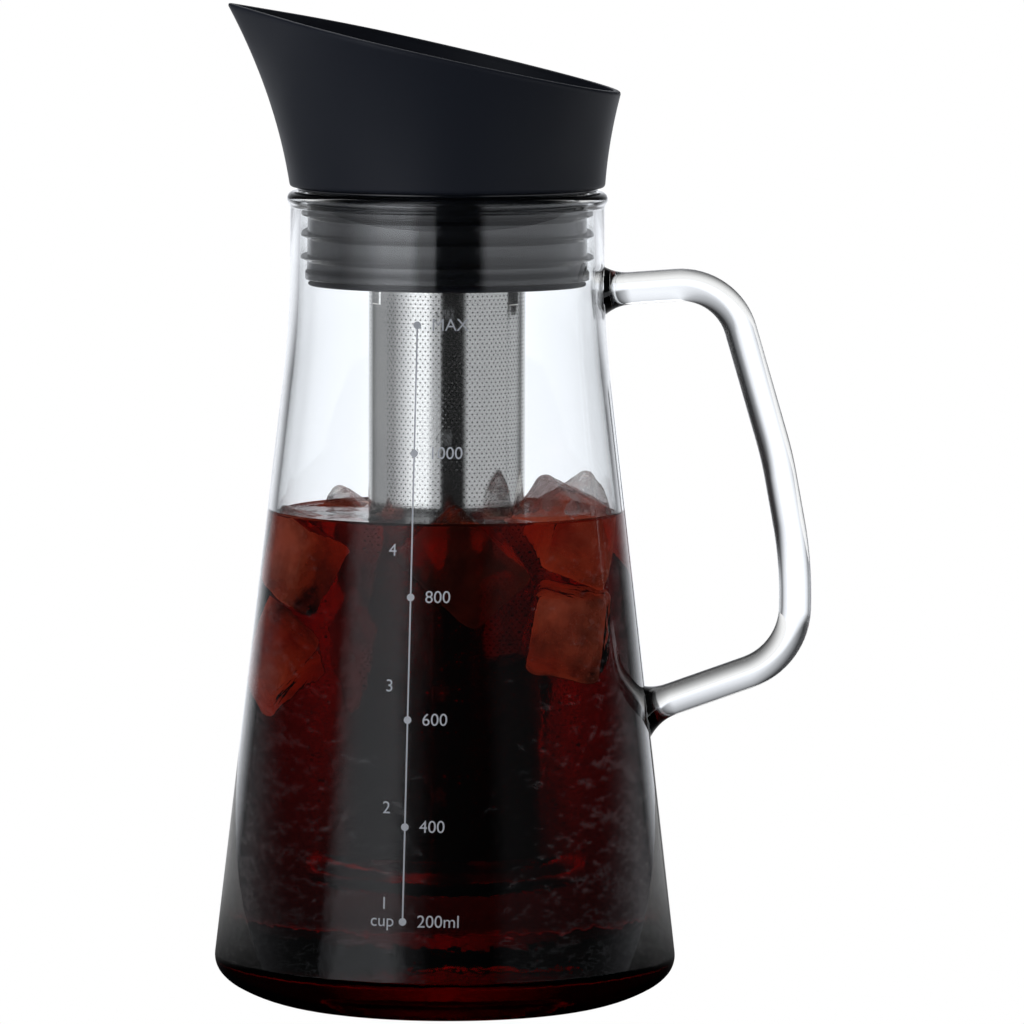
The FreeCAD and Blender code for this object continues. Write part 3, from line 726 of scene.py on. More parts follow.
def flare_point(degrees, height, inset):
    """A point of the collar's flare at an angle from the spout's ridge."""
    collar = sizes("collar_sizes")
    rise = height - collar.foot_height
    full = collar.tip_height - collar.foot_height - PINCH_START
    depth = collar.pinch * (max(0.0, rise - PINCH_START) / full) ** 1.5
    radius = collar.foot_radius + FLARE_SLOPE * rise + FLARE_GROWTH * rise * rise
    radius -= depth * pinch_share(abs(degrees)) + inset
    angle = math.radians(degrees)
    return Vector((-LEAN * rise - radius * math.cos(angle), radius * math.sin(angle), height))


def rim_height(x):
    collar = sizes("collar_sizes")
    slope = (collar.low_height - collar.tip_height) / (RIM_LOW_X - SPOUT_TIP_X)
    return collar.tip_height + slope * (x - SPOUT_TIP_X)


def rim_point(degrees, inset):
    """Where the flare meets the slanted rim."""
    height = rim_height(0)
    for _ in range(12):
        height = rim_height(flare_point(degrees, height, inset).x)
    return flare_point(degrees, height, inset)


def collar_angles():
    """Angles round the collar, closer together at the spout's ridge."""
    angles = []
    for index in range(ROUND_STEPS):
        t = -1 + 2 * index / ROUND_STEPS
        angles.append(180 * (0.55 * t + 0.45 * t ** 3))
    return angles


def collar_ring(degrees):
    """One closed outline of the collar at an angle: skirt, throat, inner flare, lip, outer flare, foot."""
    collar = sizes("collar_sizes")
    wall = collar.wall
    bore = collar.skirt_radius - SKIRT_WALL
    foot = collar.foot_height
    throat_top = foot + 2 * wall
    low = collar.skirt_foot
    angle = math.radians(degrees)

    def turned(radius, height):
        return Vector((-radius * math.cos(angle), radius * math.sin(angle), height))

    ring = [turned(*p) for p in (
        (bore - LEDGE, low), (bore - LEDGE, low + LEDGE), (bore, low + LEDGE), (bore, foot - 1.0 * MM),
        (bore + 0.3 * MM, foot), (collar.foot_radius - 2.4 * MM, throat_top),
    )]
    outer_top = rim_point(degrees, 0)
    inner_top = rim_point(degrees, wall)
    inner_foot = throat_top + 0.8 * MM
    for row in range(FLARE_ROWS):
        t = row / (FLARE_ROWS - 1)
        height = inner_foot + (inner_top.z - LIP_ROUND - inner_foot) * t
        ring.append(flare_point(degrees, height, wall))
    outer_low = flare_point(degrees, outer_top.z - LIP_ROUND, 0)
    inner_low = ring[-1]
    middle = (outer_low + inner_low) / 2
    half = (outer_low - inner_low) / 2
    for step in range(1, 10):
        turn = math.pi * step / 10
        squash = math.copysign(abs(math.cos(turn)) ** 0.6, math.cos(turn))
        ring.append(middle - half * squash + Vector((0, 0, LIP_ROUND * math.sin(turn) ** 0.6)))
    bottom = foot + FOOT_ROUND
    for row in range(FLARE_ROWS):
        t = row / (FLARE_ROWS - 1)
        ring.append(flare_point(degrees, outer_low.z + (bottom - outer_low.z) * t, 0))
    for step in range(1, 5):
        turn = math.pi / 2 * step / 4
        point = flare_point(degrees, bottom, FOOT_ROUND * (1 - math.cos(turn)))
        point.z = bottom - FOOT_ROUND * math.sin(turn)
        ring.append(point)
    skirt = collar.skirt_radius
    ring += [turned(*p) for p in (
        (skirt, foot), (skirt, low + 1.5 * MM), (skirt + CUFF_STOP, low + 0.6 * MM),
        (skirt + CUFF_STOP, low + 0.2 * MM), (skirt + CUFF_STOP - 0.3 * MM, low),
    )]
    return ring


def make_collar():
    collar = sizes("collar_sizes")
    plastic = moulded_plastic("polypropylene_black_moulded", collar.colour, 0.5, 0.3, COLLAR_GRAIN, 0.12)
    rings = [collar_ring(degrees) for degrees in collar_angles()]
    rows = len(rings[0])
    points = [point for ring in rings for point in ring]
    faces = []
    for index in range(len(rings)):
        here = index * rows
        side = (index + 1) % len(rings) * rows
        for row in range(rows):
            above = (row + 1) % rows
            faces.append((here + row, side + row, side + above, here + above))
    piece = mesh_piece("collar_moulding", points, faces, plastic, 40.0)
    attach(piece, "collar")
    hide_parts("pour_collar")
    seat = node_copy("filter_seat", "seat_moulding", plastic, "collar")
    return piece, seat


# Seal sleeve

FIN_HEIGHTS = (186.0 * MM, 191.6 * MM, 196.7 * MM)
FIN_GAP = 0.3 * MM           # from the fins to the bore of the neck
SLEEVE_WALL = 1.5 * MM
CUFF_STEP = 0.5 * MM         # how far the lower edge stands out
CUFF_HEIGHT = 2.0 * MM
FLANGE_GAP = 0.3 * MM        # from the rim of the glass to the flange


def make_sleeve():
    collar = sizes("collar_sizes")
    carafe = sizes("carafe_sizes")
    skirt = collar.skirt_radius
    body = skirt + SLEEVE_WALL
    cuff = body + CUFF_STEP
    low = collar.skirt_foot + 1.5 * MM
    fin = carafe.neck_radius - carafe.wall - FIN_GAP
    flange = carafe.height + FLANGE_GAP
    outline = [(skirt, low), (cuff, low), (cuff, low + CUFF_HEIGHT), (body, low + CUFF_HEIGHT + CUFF_STEP)]
    for height in FIN_HEIGHTS:
        outline += [
            (body, height - 0.45 * MM),
            (fin, height + 0.55 * MM),
            (fin, height + 1.0 * MM),
            (body, height + 0.45 * MM),
        ]
    edge = collar.foot_radius - 1.8 * MM
    outline += [(body, flange), (edge, flange), (edge, collar.foot_height), (skirt, collar.foot_height)]
    piece = lathe("sleeve_silicone", rounded(outline, 0.3 * MM), silicone_rubber(), smooth_deg=50.0)
    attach(piece, "collar")
    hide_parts("seal_sleeve")
    return piece


# Steel filter

HOLES_FOOT = 40.0 * MM
HOLES_TOP = 184.0 * MM
SEAM_START_DEG = 196.0       # plain margin along the tube's welded seam, from +X, to the left in front
SEAM_END_DEG = 222.0
LUG_START_DEG = -33.0        # first of three lugs, from +X
LUG_WIDTH = 4.4 * MM
LUG_HEIGHT = 3.6 * MM
LUG_TOP = 178.6 * MM
LUG_RISE = 0.3 * MM
LUG_SLOPE = 0.4 * MM


def sheet_cell(name, width, height, hole, sheet, sagitta):
    """One plate of the sheet with a six-sided hole and its wall, or plain where the hole is zero."""
    half_w, half_h = width / 2, height / 2
    rim = [(0.0, -half_w, -half_h), (sagitta, 0.0, -half_h), (0.0, half_w, -half_h)]
    rim += [(0.0, half_w, half_h), (sagitta, 0.0, half_h), (0.0, -half_w, half_h)]
    if hole <= 0:
        mesh = bpy.data.meshes.new(name)
        mesh.from_pydata(rim, [], [tuple(range(6))])
        return link(mesh, name)
    front, back = [], []
    for index in range(6):
        angle = math.radians(-150 + 60 * index)
        y, z = hole / 2 * math.cos(angle), hole / 2 * math.sin(angle)
        bulge = sagitta * (1 - abs(y) / half_w)
        front.append((bulge, y, z))
        back.append((bulge - sheet, y * 0.94, z * 0.94))
    points = rim + front + back
    faces = []
    for index in range(6):
        side = (index + 1) % 6
        faces.append((index, side, 6 + side, 6 + index))
        faces.append((6 + index, 6 + side, 12 + side, 12 + index))
    mesh = bpy.data.meshes.new(name)
    mesh.from_pydata(points, [], faces)
    return link(mesh, name)


def perforation_tree():
    """Rows of plates bent round a tube, each row half a step on from the last, plain along the seam."""
    tree = bpy.data.node_groups.new("perforated_sheet", "GeometryNodeTree")
    face = tree.interface
    face.new_socket("Geometry", in_out="INPUT", socket_type="NodeSocketGeometry")
    named = {}
    for label, kind in (
        ("Columns", "NodeSocketInt"), ("Rows", "NodeSocketInt"), ("Radius", "NodeSocketFloat"),
        ("Foot", "NodeSocketFloat"), ("Row height", "NodeSocketFloat"), ("Seam start", "NodeSocketFloat"),
        ("Seam end", "NodeSocketFloat"), ("Plain plate", "NodeSocketObject"),
        ("Finish", "NodeSocketMaterial"),
    ):
        named[label] = face.new_socket(label, in_out="INPUT", socket_type=kind).identifier
    face.new_socket("Geometry", in_out="OUTPUT", socket_type="NodeSocketGeometry")
    entry = add(tree, "NodeGroupInput").outputs
    total = add(tree, "ShaderNodeMath", {
        0: entry["Columns"], 1: entry["Rows"],
    }, operation="MULTIPLY").outputs[0]
    points = add(tree, "GeometryNodePoints", {"Count": total}).outputs[0]
    index = add(tree, "GeometryNodeInputIndex").outputs[0]
    share = add(tree, "ShaderNodeMath", {0: index, 1: entry["Columns"]}, operation="DIVIDE").outputs[0]
    nudged = add(tree, "ShaderNodeMath", {0: share, 1: 0.0001}, operation="ADD").outputs[0]
    row = add(tree, "ShaderNodeMath", {0: nudged}, operation="FLOOR").outputs[0]
    start = add(tree, "ShaderNodeMath", {0: row, 1: entry["Columns"]}, operation="MULTIPLY").outputs[0]
    column = add(tree, "ShaderNodeMath", {0: index, 1: start}, operation="SUBTRACT").outputs[0]
    odd = add(tree, "ShaderNodeMath", {0: row, 1: 2.0}, operation="MODULO").outputs[0]
    half = add(tree, "ShaderNodeMath", {0: odd, 1: 0.5}, operation="MULTIPLY").outputs[0]
    place = add(tree, "ShaderNodeMath", {0: column, 1: half}, operation="ADD").outputs[0]
    turn = add(tree, "ShaderNodeMath", {0: place, 1: entry["Columns"]}, operation="DIVIDE").outputs[0]
    angle = add(tree, "ShaderNodeMath", {0: turn, 1: 2 * math.pi}, operation="MULTIPLY").outputs[0]
    cosine = add(tree, "ShaderNodeMath", {0: angle}, operation="COSINE").outputs[0]
    sine = add(tree, "ShaderNodeMath", {0: angle}, operation="SINE").outputs[0]
    x = add(tree, "ShaderNodeMath", {0: cosine, 1: entry["Radius"]}, operation="MULTIPLY").outputs[0]
    y = add(tree, "ShaderNodeMath", {0: sine, 1: entry["Radius"]}, operation="MULTIPLY").outputs[0]
    z = add(tree, "ShaderNodeMath", {
        0: row, 1: entry["Row height"], 2: entry["Foot"],
    }, operation="MULTIPLY_ADD").outputs[0]
    spot = add(tree, "ShaderNodeCombineXYZ", {"X": x, "Y": y, "Z": z}).outputs[0]
    placed = add(tree, "GeometryNodeSetPosition", {"Geometry": points, "Position": spot}).outputs[0]
    facing = add(tree, "ShaderNodeCombineXYZ", {"Z": angle}).outputs[0]
    after = add(tree, "FunctionNodeCompare", {
        0: angle, 1: entry["Seam start"],
    }, operation="GREATER_THAN").outputs[0]
    before = add(tree, "FunctionNodeCompare", {
        0: angle, 1: entry["Seam end"],
    }, operation="LESS_THAN").outputs[0]
    seam = add(tree, "FunctionNodeBooleanMath", {0: after, 1: before}, operation="AND").outputs[0]
    holed = add(tree, "FunctionNodeBooleanMath", {0: seam}, operation="NOT").outputs[0]
    plate = add(tree, "GeometryNodeObjectInfo", {"Object": entry["Plain plate"]}).outputs["Geometry"]
    pierced = add(tree, "GeometryNodeInstanceOnPoints", {
        "Points": placed, "Selection": holed, "Instance": entry["Geometry"], "Rotation": facing,
    }).outputs[0]
    plain = add(tree, "GeometryNodeInstanceOnPoints", {
        "Points": placed, "Selection": seam, "Instance": plate, "Rotation": facing,
    }).outputs[0]
    both = add(tree, "GeometryNodeJoinGeometry")
    tree.links.new(pierced, both.inputs[0])
    tree.links.new(plain, both.inputs[0])
    real = add(tree, "GeometryNodeRealizeInstances", {"Geometry": both.outputs[0]}).outputs[0]
    merged = add(tree, "GeometryNodeMergeByDistance", {"Geometry": real, "Distance": 0.004 * MM}).outputs[0]
    finished = add(tree, "GeometryNodeSetMaterial", {
        "Geometry": merged, "Material": entry["Finish"],
    }).outputs[0]
    add(tree, "NodeGroupOutput", {0: finished})
    return tree, named


def perforated_band(name, tree, named, first_row, rows, finish):
    """One band of the tube as a plain mesh."""
    steel = sizes("filter_sizes")
    row_height = (HOLES_TOP - HOLES_FOOT) / steel.rows
    chord = steel.radius * math.sin(math.pi / steel.columns)
    middle = steel.radius * math.cos(math.pi / steel.columns)
    sagitta = steel.radius - middle
    cell = sheet_cell(name + "_cell", 2 * chord, row_height, steel.hole, steel.sheet, sagitta)
    plain = sheet_cell(name + "_plain", 2 * chord, row_height, 0, steel.sheet, sagitta)
    modifier = cell.modifiers.new("perforations", "NODES")
    modifier.node_group = tree
    values = {
        "Columns": steel.columns, "Rows": rows, "Radius": middle,
        "Foot": HOLES_FOOT + (first_row + 0.5) * row_height, "Row height": row_height,
        "Seam start": math.radians(SEAM_START_DEG), "Seam end": math.radians(SEAM_END_DEG),
        "Plain plate": plain, "Finish": finish,
    }
    for label, value in values.items():
        modifier[named[label]] = value
    piece = evaluated_copy(cell, name)
    bpy.data.objects.remove(plain)
    return piece


def pressed_lugs(radius, finish):
    """Three small pads pressed out of the tube near its top, each a low plateau with sloping sides."""
    points, faces = [], []
    for turn in range(3):
        middle = math.radians(LUG_START_DEG + 120.0 * turn)
        first = len(points)
        for rise, inset in ((-0.05 * MM, 0.0), (LUG_RISE, LUG_SLOPE)):
            across = (LUG_WIDTH / 2 - inset) / radius
            low, high = LUG_TOP - LUG_HEIGHT + inset, LUG_TOP - inset
            corners = [(-across, low), (0.0, low), (across, low)]
            corners += [(across, high), (0.0, high), (-across, high)]
            for angle, height in corners:
                place = middle + angle
                points.append(((radius + rise) * math.cos(place), (radius + rise) * math.sin(place), height))
        for step in range(6):
            after = (step + 1) % 6
            faces.append((first + step, first + after, first + 6 + after, first + 6 + step))
        faces.append((first + 6, first + 7, first + 10, first + 11))
        faces.append((first + 7, first + 8, first + 9, first + 10))
        faces.append((first + 5, first + 4, first + 1, first))
        faces.append((first + 4, first + 3, first + 2, first + 1))
    return mesh_piece("filter_lugs_pressed", points, faces, finish)


def make_filter():
    steel = sizes("filter_sizes")
    finish = stainless_steel()
    tree, named = perforation_tree()
    half = steel.rows // 2
    bands = [
        perforated_band("filter_sheet_lower", tree, named, 0, half, finish),
        perforated_band("filter_sheet_upper", tree, named, half, steel.rows - half, finish),
    ]
    radius = steel.radius
    inner = radius - steel.sheet
    foot_band = lathe("filter_plain_foot", [
        (inner, steel.foot), (radius, steel.foot), (radius, HOLES_FOOT), (inner, HOLES_FOOT),
    ], finish, steps=steel.columns * 2, smooth_deg=50.0)
    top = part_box("filter_tube")[1].z
    top_band = lathe("filter_plain_top", [
        (inner, HOLES_TOP), (radius, HOLES_TOP), (radius, top), (inner, top),
    ], finish, steps=steel.columns * 2, smooth_deg=50.0)
    pieces = bands + [foot_band, top_band, pressed_lugs(radius, finish)]
    for piece in pieces:
        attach(piece, "filter")
        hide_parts("filter_tube")
    smooth(bands[0].data, 50.0)
    smooth(bands[1].data, 50.0)
    node_copy("filter_rim", "filter_rim_rolled", finish, "filter")
    node_copy("filter_base", "filter_cup_pressed", finish, "filter")
    return pieces


def make_cap():
    collar = sizes("collar_sizes")
    plastic = moulded_plastic("polypropylene_black_cap", collar.colour, 0.5, 0.3, CAP_GRAIN, 0.15)
    node_copy("filter_cap", "cap_moulding", plastic, "cap")
    node_copy("cap_gasket", "cap_gasket_silicone", silicone_rubber(), "cap")


# Measure print

SCALE_AZIMUTH = -100.3       # direction of the scale line from +X, a little left of the front
MARK_HEIGHTS = (26.9, 49.9, 75.9, 105.7, 140.7, 171.9)
MARK_WORDS = ("200ml", "400", "600", "800", "1000", "MAX")
CUP_HEIGHTS = ((31.2, "1"), (54.4, "2"), (84.0, "3"), (117.0, "4"))
LETTER = 4.25 * MM           # size of the lettering
SCALE_LINE = 0.4 * MM        # width of the line
SCALE_DOT = 0.95 * MM        # radius of the dot at each mark
WORD_SIDE = 3.5 * MM         # volumes start this far right of the line
DIGIT_SIDE = 4.75 * MM       # cup numbers are centred this far left of it
CUP_SIDE = 2.1 * MM          # the word for them ends this far left of it
LINE_STEPS = 80


def side_radius(height):
    """Outside radius of the glass at a height, on the tapered side and neck."""
    carafe = sizes("carafe_sizes")
    if height >= carafe.cone_top:
        return carafe.neck_radius
    return carafe.neck_radius + (carafe.cone_top - height) * math.tan(cone_angle())


def wrapped(across, height):
    """A point of the print: distance round the glass from the scale line, and height."""
    radius = side_radius(height) + PRINT_LIFT
    angle = math.radians(SCALE_AZIMUTH) + across / radius
    return Vector((radius * math.cos(angle), radius * math.sin(angle), height))


def flat_disc(centre, radius, steps=20):
    ring = []
    for step in range(steps):
        angle = 2 * math.pi * step / steps
        ring.append(wrapped(centre[0] + radius * math.cos(angle), centre[1] + radius * math.sin(angle)))
    return ring


def word_mesh(text, size, align, across, height):
    """Flat lettering turned to mesh and wrapped on the glass."""
    curve = bpy.data.curves.new("word_" + text, "FONT")
    curve.body = text
    curve.size = size
    curve.align_x = align
    curve.align_y = "CENTER"
    curve.resolution_u = 6
    holder = link(curve, "word_" + text)
    bpy.context.view_layer.update()
    graph = bpy.context.evaluated_depsgraph_get()
    mesh = bpy.data.meshes.new_from_object(holder.evaluated_get(graph))
    bpy.data.objects.remove(holder)
    work = bmesh.new()
    work.from_mesh(mesh)
    bmesh.ops.remove_doubles(work, verts=work.verts, dist=1e-7)
    bmesh.ops.triangulate(work, faces=work.faces)
    for vert in work.verts:
        vert.co = wrapped(across + vert.co.x, height + vert.co.y)
    work.to_mesh(mesh)
    work.free()
    return mesh


def make_print():
    enamel = fired_enamel_painted_glow()
    work = bmesh.new()
    heights = [height * MM for height in MARK_HEIGHTS]
    half = SCALE_LINE / 2
    rail = []
    for index in range(LINE_STEPS + 1):
        height = heights[0] + (heights[-1] - heights[0]) * index / LINE_STEPS
        rail.append([work.verts.new(wrapped(-half, height)), work.verts.new(wrapped(half, height))])
    for below, above in zip(rail, rail[1:]):
        work.faces.new((below[0], below[1], above[1], above[0]))
    for height in heights:
        work.faces.new([work.verts.new(point) for point in flat_disc((0, height), SCALE_DOT)])
    mesh = bpy.data.meshes.new("measure_print")
    work.to_mesh(mesh)
    work.free()
    marks = zip(MARK_WORDS, heights)
    words = [word_mesh(word, LETTER, "LEFT", WORD_SIDE, height) for word, height in marks]
    for height, digit in CUP_HEIGHTS:
        words.append(word_mesh(digit, LETTER, "CENTER", -DIGIT_SIDE, height * MM))
    words.append(word_mesh("cup", LETTER, "RIGHT", -CUP_SIDE, heights[0] + 0.1 * MM))
    joined = bmesh.new()
    joined.from_mesh(mesh)
    for word in words:
        joined.from_mesh(word)
        bpy.data.meshes.remove(word)
    joined.to_mesh(mesh)
    joined.free()
    piece = link(mesh, "measure_print")
    mesh.materials.append(enamel)
    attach(piece, "carafe")
    return piece


# Coffee and ice

ICE_NODES = ("ice_1", "ice_2", "ice_3", "ice_4", "ice_5", "ice_6", "ice_7")
CLEAR_ICE = ("ice_7",)
ICE_GRAIN = 0.7 * MM         # size of the faces that the ice is remodelled with
ICE_MELT = 0.9 * MM          # depth of the hollows that have melted into it
ICE_HOLLOW = 5.263 * MM      # between the hollows, and between the smaller ones in them
ICE_DIMPLE = 2.381 * MM
SKIN_GAP = 0.05 * MM         # between the ice and the coffee cut round it
COFFEE_OVERLAP = 0.12 * MM   # how far the coffee reaches into the glass
SWELL = 9.091 * MM           # between the slow waves of the surface
SWELL_RISE = 0.5 * MM


def melted(node, name, material, inset):
    """A half-melted form of a cube's own solid: softened, hollowed and drawn in by the inset."""
    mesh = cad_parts[node].data.copy()
    mesh.materials.clear()
    work = bmesh.new()
    work.from_mesh(mesh)
    bmesh.ops.remove_doubles(work, verts=work.verts, dist=1e-6)
    work.to_mesh(mesh)
    work.free()
    rough = link(mesh, name + "_rough")
    grain = rough.modifiers.new("grain", "REMESH")
    grain.mode = "VOXEL"
    grain.voxel_size = ICE_GRAIN
    soft = rough.modifiers.new("soft", "SMOOTH")
    soft.iterations = 6
    piece = evaluated_copy(rough, name)
    mesh = piece.data
    normals = [vert.normal.copy() for vert in mesh.vertices]
    for vert, normal in zip(mesh.vertices, normals):
        wave = noise.noise(vert.co / ICE_HOLLOW) * 0.7 + noise.noise(vert.co / ICE_DIMPLE) * 0.3
        vert.co -= normal * (inset + ICE_MELT * (0.5 + 0.5 * wave))
    mesh.materials.clear()
    mesh.materials.append(material)
    mesh.shade_smooth()
    return piece


def drink_outline():
    """Closed outline of the coffee, a hair into the glass so that no air shows between them."""
    drink = sizes("drink_sizes")
    carafe = sizes("carafe_sizes")
    inset = carafe.wall - COFFEE_OVERLAP
    inside = heel_curve(inset)
    kept = [p for p in inside if p[0] > inside[-1][0] + 1 * MM]
    floor = dome(kept[-1], PUNT_RISE + FLOOR - COFFEE_OVERLAP)
    level = drink.level
    side = side_radius(level) - inset / math.cos(cone_angle())
    top = [
        (side, level + MENISCUS),
        (side - 0.7 * MM, level + 0.35 * MM),
        (side - 2.0 * MM, level + 0.05 * MM),
    ]
    top += [(side * share, level) for share in (0.9, 0.75, 0.55, 0.35, 0.15, 0.0)]
    return floor + list(reversed(kept)) + top


def ripple(mesh, level, side):
    """A gently uneven surface, still along the glass."""
    for vert in mesh.vertices:
        radius = math.hypot(vert.co.x, vert.co.y)
        if abs(vert.co.z - level) < 0.01 * MM and radius < 0.95 * side:
            vert.co.z += SWELL_RISE * noise.noise(vert.co / SWELL)


def make_drink():
    level = sizes("drink_sizes").level
    skins = [coffee_surface(), coffee_round_ice(), coffee_at_glass()]
    cloudy = freezer_ice("freezer_ice_cloudy", 1.0)
    clear = freezer_ice("freezer_ice_clear", 0.12)
    body = lathe("coffee_body", drink_outline(), skins[0], smooth_deg=60.0)
    for face in body.data.polygons:
        face.material_index = 0 if face.center.z > level - 0.1 * MM else 2
    ripple(body.data, level, side_radius(level))
    cutters = [melted(node, node + "_hollow", skins[1], 0.0) for node in ICE_NODES]
    for holder in [body] + cutters:
        holder.data.materials.clear()
        for skin in skins:
            holder.data.materials.append(skin)
    for cutter in cutters:
        for face in cutter.data.polygons:
            face.material_index = 1
        cut = body.modifiers.new("ice", "BOOLEAN")
        cut.operation = "DIFFERENCE"
        cut.solver = "MANIFOLD"
        cut.object = cutter
    coffee = evaluated_copy(body, "coffee_poured")
    smooth(coffee.data, 60.0)
    for cutter in cutters:
        bpy.data.objects.remove(cutter)
    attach(coffee, "carafe")
    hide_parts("coffee")
    for node in ICE_NODES:
        piece = melted(node, node + "_melting", clear if node in CLEAR_ICE else cloudy, SKIN_GAP)
        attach(piece, "carafe")
        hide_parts(node)
    return coffee


# Stage


FLOOR_REACH = 0.6            # round white table; beyond it the studio takes over
FLOOR_SIDES = 96
WHITE_FROM = 0.45            # painted shade: the table is painted dark near the object and white this far behind it
TABLE_MIRROR = 0.3           # how much of the white table the object mirrors


def make_floor(stage):
    plane = bpy.data.meshes.new("floor")
    ring = [2 * math.pi * step / FLOOR_SIDES for step in range(FLOOR_SIDES)]
    rim = [(FLOOR_REACH * math.cos(angle), FLOOR_REACH * math.sin(angle), 0) for angle in ring]
    plane.from_pydata(rim, [], [tuple(range(FLOOR_SIDES))])
    floor = link(plane, "floor")
    material = new_material("backdrop_paper_painted_shade")
    tree = material.node_tree
    place = add(tree, "ShaderNodeNewGeometry").outputs["Position"]
    depth = add(tree, "ShaderNodeSeparateXYZ", {0: place}).outputs["Y"]
    behind = add(tree, "ShaderNodeMapRange", {
        "Value": depth, "From Min": 0.0, "From Max": WHITE_FROM,
    }, interpolation_type="SMOOTHSTEP").outputs[0]
    # painted shade: dark near the object and white behind it, seen by the object in its reflections and
    # bounced light; the camera sees only white
    painted_shade_tone = add(tree, "ShaderNodeMix", {
        "Factor": behind, 6: srgb("#17181b"), 7: tuple(stage.backdrop),
    }, data_type="RGBA")
    paper = add(tree, "ShaderNodeBsdfDiffuse", {"Color": painted_shade_tone.outputs[2]})
    glow = add(tree, "ShaderNodeEmission", {"Color": tuple(stage.backdrop), "Strength": 1.0})
    rays = add(tree, "ShaderNodeLightPath").outputs
    mirrored = add(tree, "ShaderNodeMath", {0: rays["Is Glossy Ray"], 1: TABLE_MIRROR}, operation="MULTIPLY")
    seen = add(tree, "ShaderNodeMath", {
        0: mirrored.outputs[0], 1: rays["Is Transmission Ray"],
    }, operation="MAXIMUM")
    others = add(tree, "ShaderNodeMath", {0: seen.outputs[0], 1: behind}, operation="MULTIPLY")
    share = add(tree, "ShaderNodeMath", {0: others.outputs[0], 1: rays["Is Camera Ray"]}, operation="MAXIMUM")
    shader = add(tree, "ShaderNodeMixShader", {
        0: share.outputs[0], 1: paper.outputs[0], 2: glow.outputs[0],
    })
    finish_surface(material, shader)
    plane.materials.append(material)


# Studio panels: compass angle from the camera's side, positive to the right, and brightness there
LOW_PANELS = (
    (-180, 0.62), (-160, 0.6), (-148, 0.4), (-138, 0.1), (-122, 0.2), (-84, 0.22), (-72, 0.42), (-62, 0.6),
    (-48, 0.95), (-28, 0.95), (-20, 0.45), (-10, 0.42), (-7, 0.01), (24, 0.01), (31, 0.4), (122, 0.36),
    (138, 0.1), (148, 0.4), (160, 0.6), (180, 0.62),
)
HIGH_PANELS = (
    (-180, 0.56), (-172, 0.3), (-160, 0.12), (-150, 0.02), (-100, 0.01), (-66, 0.02), (-56, 0.26),
    (-28, 0.32), (-18, 0.06), (-7, 0.01), (24, 0.005), (34, 0.03), (100, 0.01), (150, 0.02),
    (160, 0.12), (172, 0.3), (180, 0.56),
)
PANEL_POWER = 2.0
PANEL_EDGE = (-0.08, 0.02)   # rise of a ray where the low panels end and the high ones begin


def panels(tree, share, stops):
    ramp = add(tree, "ShaderNodeValToRGB", {0: share})
    elements = ramp.color_ramp.elements
    for index, (degrees, bright) in enumerate(stops):
        place = (degrees + 180) / 360
        if 0 < index < len(stops) - 1:
            elements.new(place)
        elements[index].position = place
        elements[index].color = (bright, bright, bright, 1.0)
    return ramp.outputs[0]


def make_world(stage):
    """White for the camera; for the object a studio of light and dark panels, dimmer above the horizon."""
    world = bpy.data.worlds.new("studio")
    bpy.context.scene.world = world
    world.use_nodes = True
    tree = world.node_tree
    tree.nodes.clear()
    way = add(tree, "ShaderNodeTexCoord").outputs["Generated"]
    parts = add(tree, "ShaderNodeSeparateXYZ", {0: way}).outputs
    front = add(tree, "ShaderNodeMath", {0: parts["Y"], 1: -1.0}, operation="MULTIPLY").outputs[0]
    compass = add(tree, "ShaderNodeMath", {0: parts["X"], 1: front}, operation="ARCTAN2").outputs[0]
    share = add(tree, "ShaderNodeMapRange", {
        "Value": compass, "From Min": -math.pi, "From Max": math.pi,
    }).outputs[0]
    rise = add(tree, "ShaderNodeMapRange", {
        "Value": parts["Z"], "From Min": PANEL_EDGE[0], "From Max": PANEL_EDGE[1],
    }, interpolation_type="SMOOTHSTEP").outputs[0]
    mixed = add(tree, "ShaderNodeMix", {
        "Factor": rise, 6: panels(tree, share, LOW_PANELS), 7: panels(tree, share, HIGH_PANELS),
    }, data_type="RGBA").outputs[2]
    cool = add(tree, "ShaderNodeMix", {
        "Factor": 1.0, 6: mixed, 7: srgb("#f6f9ff"),
    }, data_type="RGBA", blend_type="MULTIPLY").outputs[2]
    room = add(tree, "ShaderNodeBackground", {"Color": cool, "Strength": PANEL_POWER})
    white = add(tree, "ShaderNodeBackground", {"Color": tuple(stage.backdrop), "Strength": 1.0})
    camera = add(tree, "ShaderNodeLightPath").outputs["Is Camera Ray"]
    seen = add(tree, "ShaderNodeMixShader", {0: camera, 1: room.outputs[0], 2: white.outputs[0]})
    add(tree, "ShaderNodeOutputWorld", {"Surface": seen.outputs[0]})


def softbox(name, place, size, aim, power, tone):
    light = bpy.data.lights.new(name, "AREA")
    light.shape = "RECTANGLE"
    light.size, light.size_y = size
    light.energy = power
    light.color = srgb(tone)[:3]
    lamp = bpy.data.objects.new(name, light)
    bpy.context.scene.collection.objects.link(lamp)
    lamp.location = place
    lamp.rotation_euler = (Vector(aim) - Vector(place)).to_track_quat("-Z", "Y").to_euler()
    return lamp


def make_stage():
    stage = sizes("stage_sizes")
    scene = bpy.context.scene
    make_floor(stage)
    make_world(stage)
    softbox("top_softbox", (-0.3, 0.5, 1.6), (1.2, 1.0), (0, 0, 0.1), 4.0, "#ffffff")
    data = bpy.data.cameras.new("camera")
    data.lens = stage.lens
    data.sensor_width = 36.0
    data.clip_end = 50.0
    camera = bpy.data.objects.new("camera", data)
    scene.collection.objects.link(camera)
    tilt = Matrix.Rotation(math.pi / 2 - stage.camera_tilt, 4, "X")
    roll = Matrix.Rotation(stage.camera_roll, 4, "Z")
    camera.matrix_world = Matrix.Translation(Vector(stage.camera_place)) @ tilt @ roll
    scene.camera = camera
    scene.view_settings.view_transform = "Standard"


# Operators and panel


